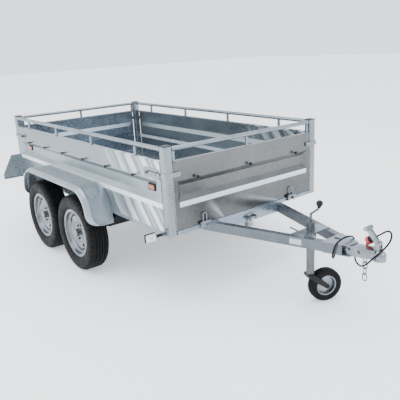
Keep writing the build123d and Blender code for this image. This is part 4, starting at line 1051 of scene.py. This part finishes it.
@dataclass
class JockeyTrim:
    """The jockey wheel's crank with its knob, and its ribbed tyre."""

    finishes: Finishes
    stem: Vector = field(default_factory=lambda: Vector((1.273, 0, 0)))
    heading: float = radians(67.0)

    def crank(self) -> None:
        """A bent rod with a pear-shaped knob."""
        bend = self.stem + Vector((0, 0, 0.586))
        arm_end = bend + Vector((0.056, 0, 0.044))
        foot = arm_end + Vector((0.004, 0, 0.008))
        centre = foot + Vector((0.004, 0, 0.026))
        piece = Piece("jockey_crank_rod")
        piece.tube(self.stem + Vector((0, 0, 0.258)), bend, 0.0069)
        piece.ball(bend, 0.0070)
        piece.tube(bend, arm_end, 0.0062)
        piece.ball(arm_end, 0.0063)
        piece.tube(arm_end, foot, 0.0062)
        along = (centre - foot).normalized()
        out = along.cross(Vector((0, 1, 0))).normalized()
        knob = [
            (0.0, 0.0), (0.0, 0.0098), (0.002, 0.0110), (0.007, 0.0104), (0.012, 0.0140), (0.018, 0.0184),
            (0.025, 0.0206), (0.032, 0.0200), (0.038, 0.0172), (0.043, 0.0120), (0.0455, 0.0060),
            (0.0460, 0.0),
        ]
        tinted(piece.lathe(knob, foot, along, out, 36), 1)
        made = piece.finish("jockey_crank", self.finishes.dark_zinc, self.finishes.plastic, smooth=45)
        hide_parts("jockey_crank")

    def tyre(self) -> None:
        """A solid rubber tyre with rings on its flanks and grooves round its tread."""
        axis = Vector((-sin(self.heading), cos(self.heading), 0))
        half = [
            (0.0300, 0.0668), (0.0318, 0.0720), (0.0320, 0.0790), (0.0308, 0.0800), (0.0308, 0.0830),
            (0.0320, 0.0840), (0.0318, 0.0920), (0.0300, 0.0990), (0.0262, 0.1035), (0.0225, 0.1052),
            (0.0190, 0.1062), (0.0180, 0.1035), (0.0155, 0.1035), (0.0145, 0.1068), (0.0075, 0.1074),
            (0.0065, 0.1045), (0.0035, 0.1045), (0.0025, 0.1075),
        ]
        loop = half + [(-a, r) for a, r in reversed(half)]
        piece = Piece("jockey_tyre_ribbed")
        piece.lathe(loop + [loop[0]], middle("jockey_tyre"), axis, Vector((0, 0, -1)), 72)
        made = piece.finish("jockey_wheel", self.finishes.rubber, smooth=30)
        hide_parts("jockey_tyre")

    def build(self) -> None:
        """Make both."""
        self.crank()
        self.tyre()


# ---- small fittings


@dataclass
class SmallFittings:
    """Hook buttons, arm end plates, post caps, the blank type plate and rivets."""

    finishes: Finishes

    def post_caps(self) -> None:
        """A black plastic plug with a chamfered rim on top of each post."""
        piece = Piece("post_plugs")
        low, high = corners_of("corner_posts")
        lip, chamfer, rise = 0.0006, 0.0035, 0.0025
        for x in (low.x, high.x - POST):
            for y in (low.y, high.y - POST):
                foot = Vector((x - lip, y - lip, high.z - chamfer))
                head = Vector((x + POST + lip, y + POST + lip, high.z + rise))
                piece.slab(foot, head, chamfer, 3)
        made = piece.finish("chassis", self.finishes.plastic, smooth=50)

    def type_plate(self) -> None:
        """A blank pale plate with two rivets on the right-hand drawbar arm."""
        run = 0.521
        ahead = Vector((cos(ARM_SLANT), sin(ARM_SLANT), 0))
        out = Vector((sin(ARM_SLANT), -cos(ARM_SLANT), 0))
        centre = Vector((FRONT + run, -arm_y(run), 0.447)) + out * 0.0202
        piece = Piece("type_plate")
        faces = piece.slab(Vector((-0.038, -0.0006, -0.017)), Vector((0.038, 0.0006, 0.017)), 0.0004, 1)
        turned = Matrix((ahead, -out, Vector((0, 0, 1)))).transposed().to_4x4()
        piece.set_down(faces, Matrix.Translation(centre) @ turned)
        for shift in (-0.033, 0.033):
            root = centre + ahead * shift
            piece.tube(root, root + out * 0.0016, 0.0022, 0.0015, sides=14)
        made = piece.finish("chassis", self.finishes.plate, smooth=50)

    def rivets(self) -> None:
        """Dome heads along the bottom edge of each side panel."""
        piece = Piece("body_rivets")
        low, high = corners_of("side_panel_right")
        margin, count = 0.09, 12
        for side in Side:
            for index in range(count):
                x = low.x + margin + (high.x - low.x - 2 * margin) * index / (count - 1)
                piece.ball(Vector((x, side.value * 0.670, 0.488)), 0.0048, (1.0, 0.45, 1.0))
        made = piece.finish("chassis", self.finishes.zinc, smooth=60)

    def hook_buttons(self) -> None:
        """Black buttons on the rope hooks of both hinged ends."""
        for body, face_x, ahead in (("headboard", 0.741, 1), ("tailgate", -1.747, -1)):
            piece = Piece(f"hook_buttons_{body}")
            for y in (-0.443, 0.0, 0.443):
                root = Vector((face_x + ahead * 0.0165, y, 0.818))
                tip = root + Vector((ahead * 0.0085, 0, 0))
                piece.tube(root, tip, 0.0106, 0.0104, sides=24)
                piece.ball(tip, 0.0104, (0.3, 1.0, 1.0))
            made = piece.finish(body, self.finishes.plastic, smooth=50)

    def arm_ends(self) -> None:
        """Plates that close the front ends of both drawbar arms."""
        run = 0.790
        low, high = Vector((-0.003, -0.0175, -0.0275)), Vector((-0.0005, 0.0175, 0.0275))
        piece = Piece("arm_end_plates")
        for side in Side:
            ahead = Vector((cos(ARM_SLANT), -side.value * sin(ARM_SLANT), 0))
            across = Vector((side.value * sin(ARM_SLANT), cos(ARM_SLANT), 0))
            turned = Matrix((ahead, across, Vector((0, 0, 1)))).transposed().to_4x4()
            place = Matrix.Translation(Vector((FRONT + run, side.value * arm_y(run), 0.446))) @ turned
            piece.set_down(piece.slab(low, high, 0.0004, 1), place)
        made = piece.finish("chassis", self.finishes.drawbar, smooth=50)

    def build(self) -> None:
        """Make every fitting."""
        self.hook_buttons()
        self.arm_ends()
        self.post_caps()
        self.type_plate()
        self.rivets()


# ---- dressing


def dress(names: Sequence[str], finish: Any) -> None:
    """Give CAD nodes one material on all their slots."""
    for name in names:
        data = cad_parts[name].data
        if not data.materials:
            data.materials.append(finish)
        for slot in range(len(data.materials)):
            data.materials[slot] = finish
        LOG.info("dressed %s", name)


def dress_cad(finishes: Finishes) -> None:
    """Dress every CAD node that shows."""
    corners = [corner.value for corner in Corner]
    dress(["side_panel_left", "side_panel_right"], finishes.sheet)
    dress(["headboard_panel"], finishes.gate)
    dress(["floor_panel", "floor_frame", "tailgate_panel"], finishes.bed)
    dress(
        ["corner_posts", "side_rails", "headboard_rail", "tailgate_rail", "headboard_fittings",
         "tailgate_fittings", "hinge_brackets", "latch_plates"],
        finishes.tube,
    )
    dress(["mudguard_left", "mudguard_right", "light_boards"], finishes.guard)
    dress(["drawbar_arm_left", "drawbar_arm_right"], finishes.drawbar)
    dress(["drawbar_plates"], finishes.tube)
    dress(["axle_tubes", "side_hooks", "jockey_fork", *[f"swing_arm_{c}" for c in corners]], finishes.black)
    dress(
        ["coupling_body", "coupling_bolts", "coupling_handle", "jockey_crank", "chain_link_1", "chain_link_2",
         "chain_link_3", "front_lock", "jockey_rim", *[f"latch_lever_{c}" for c in corners]],
        finishes.zinc,
    )
    dress(["jockey_sleeve", "jockey_tube", "clamp_handle"], finishes.dark_zinc)
    dress([f"wheel_{c}" for c in corners], finishes.enamel)
    dress(["jockey_tyre", *[f"tyre_{c}" for c in corners]], finishes.rubber)
    dress(["plug_holder"], finishes.red)
    dress(["rear_lamps"], finishes.red_lens)
    dress(["side_reflectors"], finishes.amber_lens)
    dress(["marker_lamps"], finishes.white_lens)
    dress(["lead_plug", "lead_gland"], finishes.plastic)
    dress(["electric_lead"], finishes.sheath)


def main() -> None:
    """Build the studio and every sub-assembly in order."""
    Studio().build()
    finishes = Finishes()
    ElectricLead(finishes).build()
    dress_cad(finishes)
    for corner in Corner:
        RoadTyre(finishes, corner).build()
    for side in Side:
        Mudguard(finishes, side).build()
    Lamps(finishes).build()
    JockeyTrim(finishes).build()
    SmallFittings(finishes).build()


if __name__ == "__main__":
    logging.basicConfig(level=logging.INFO, format="%(message)s")
    main()
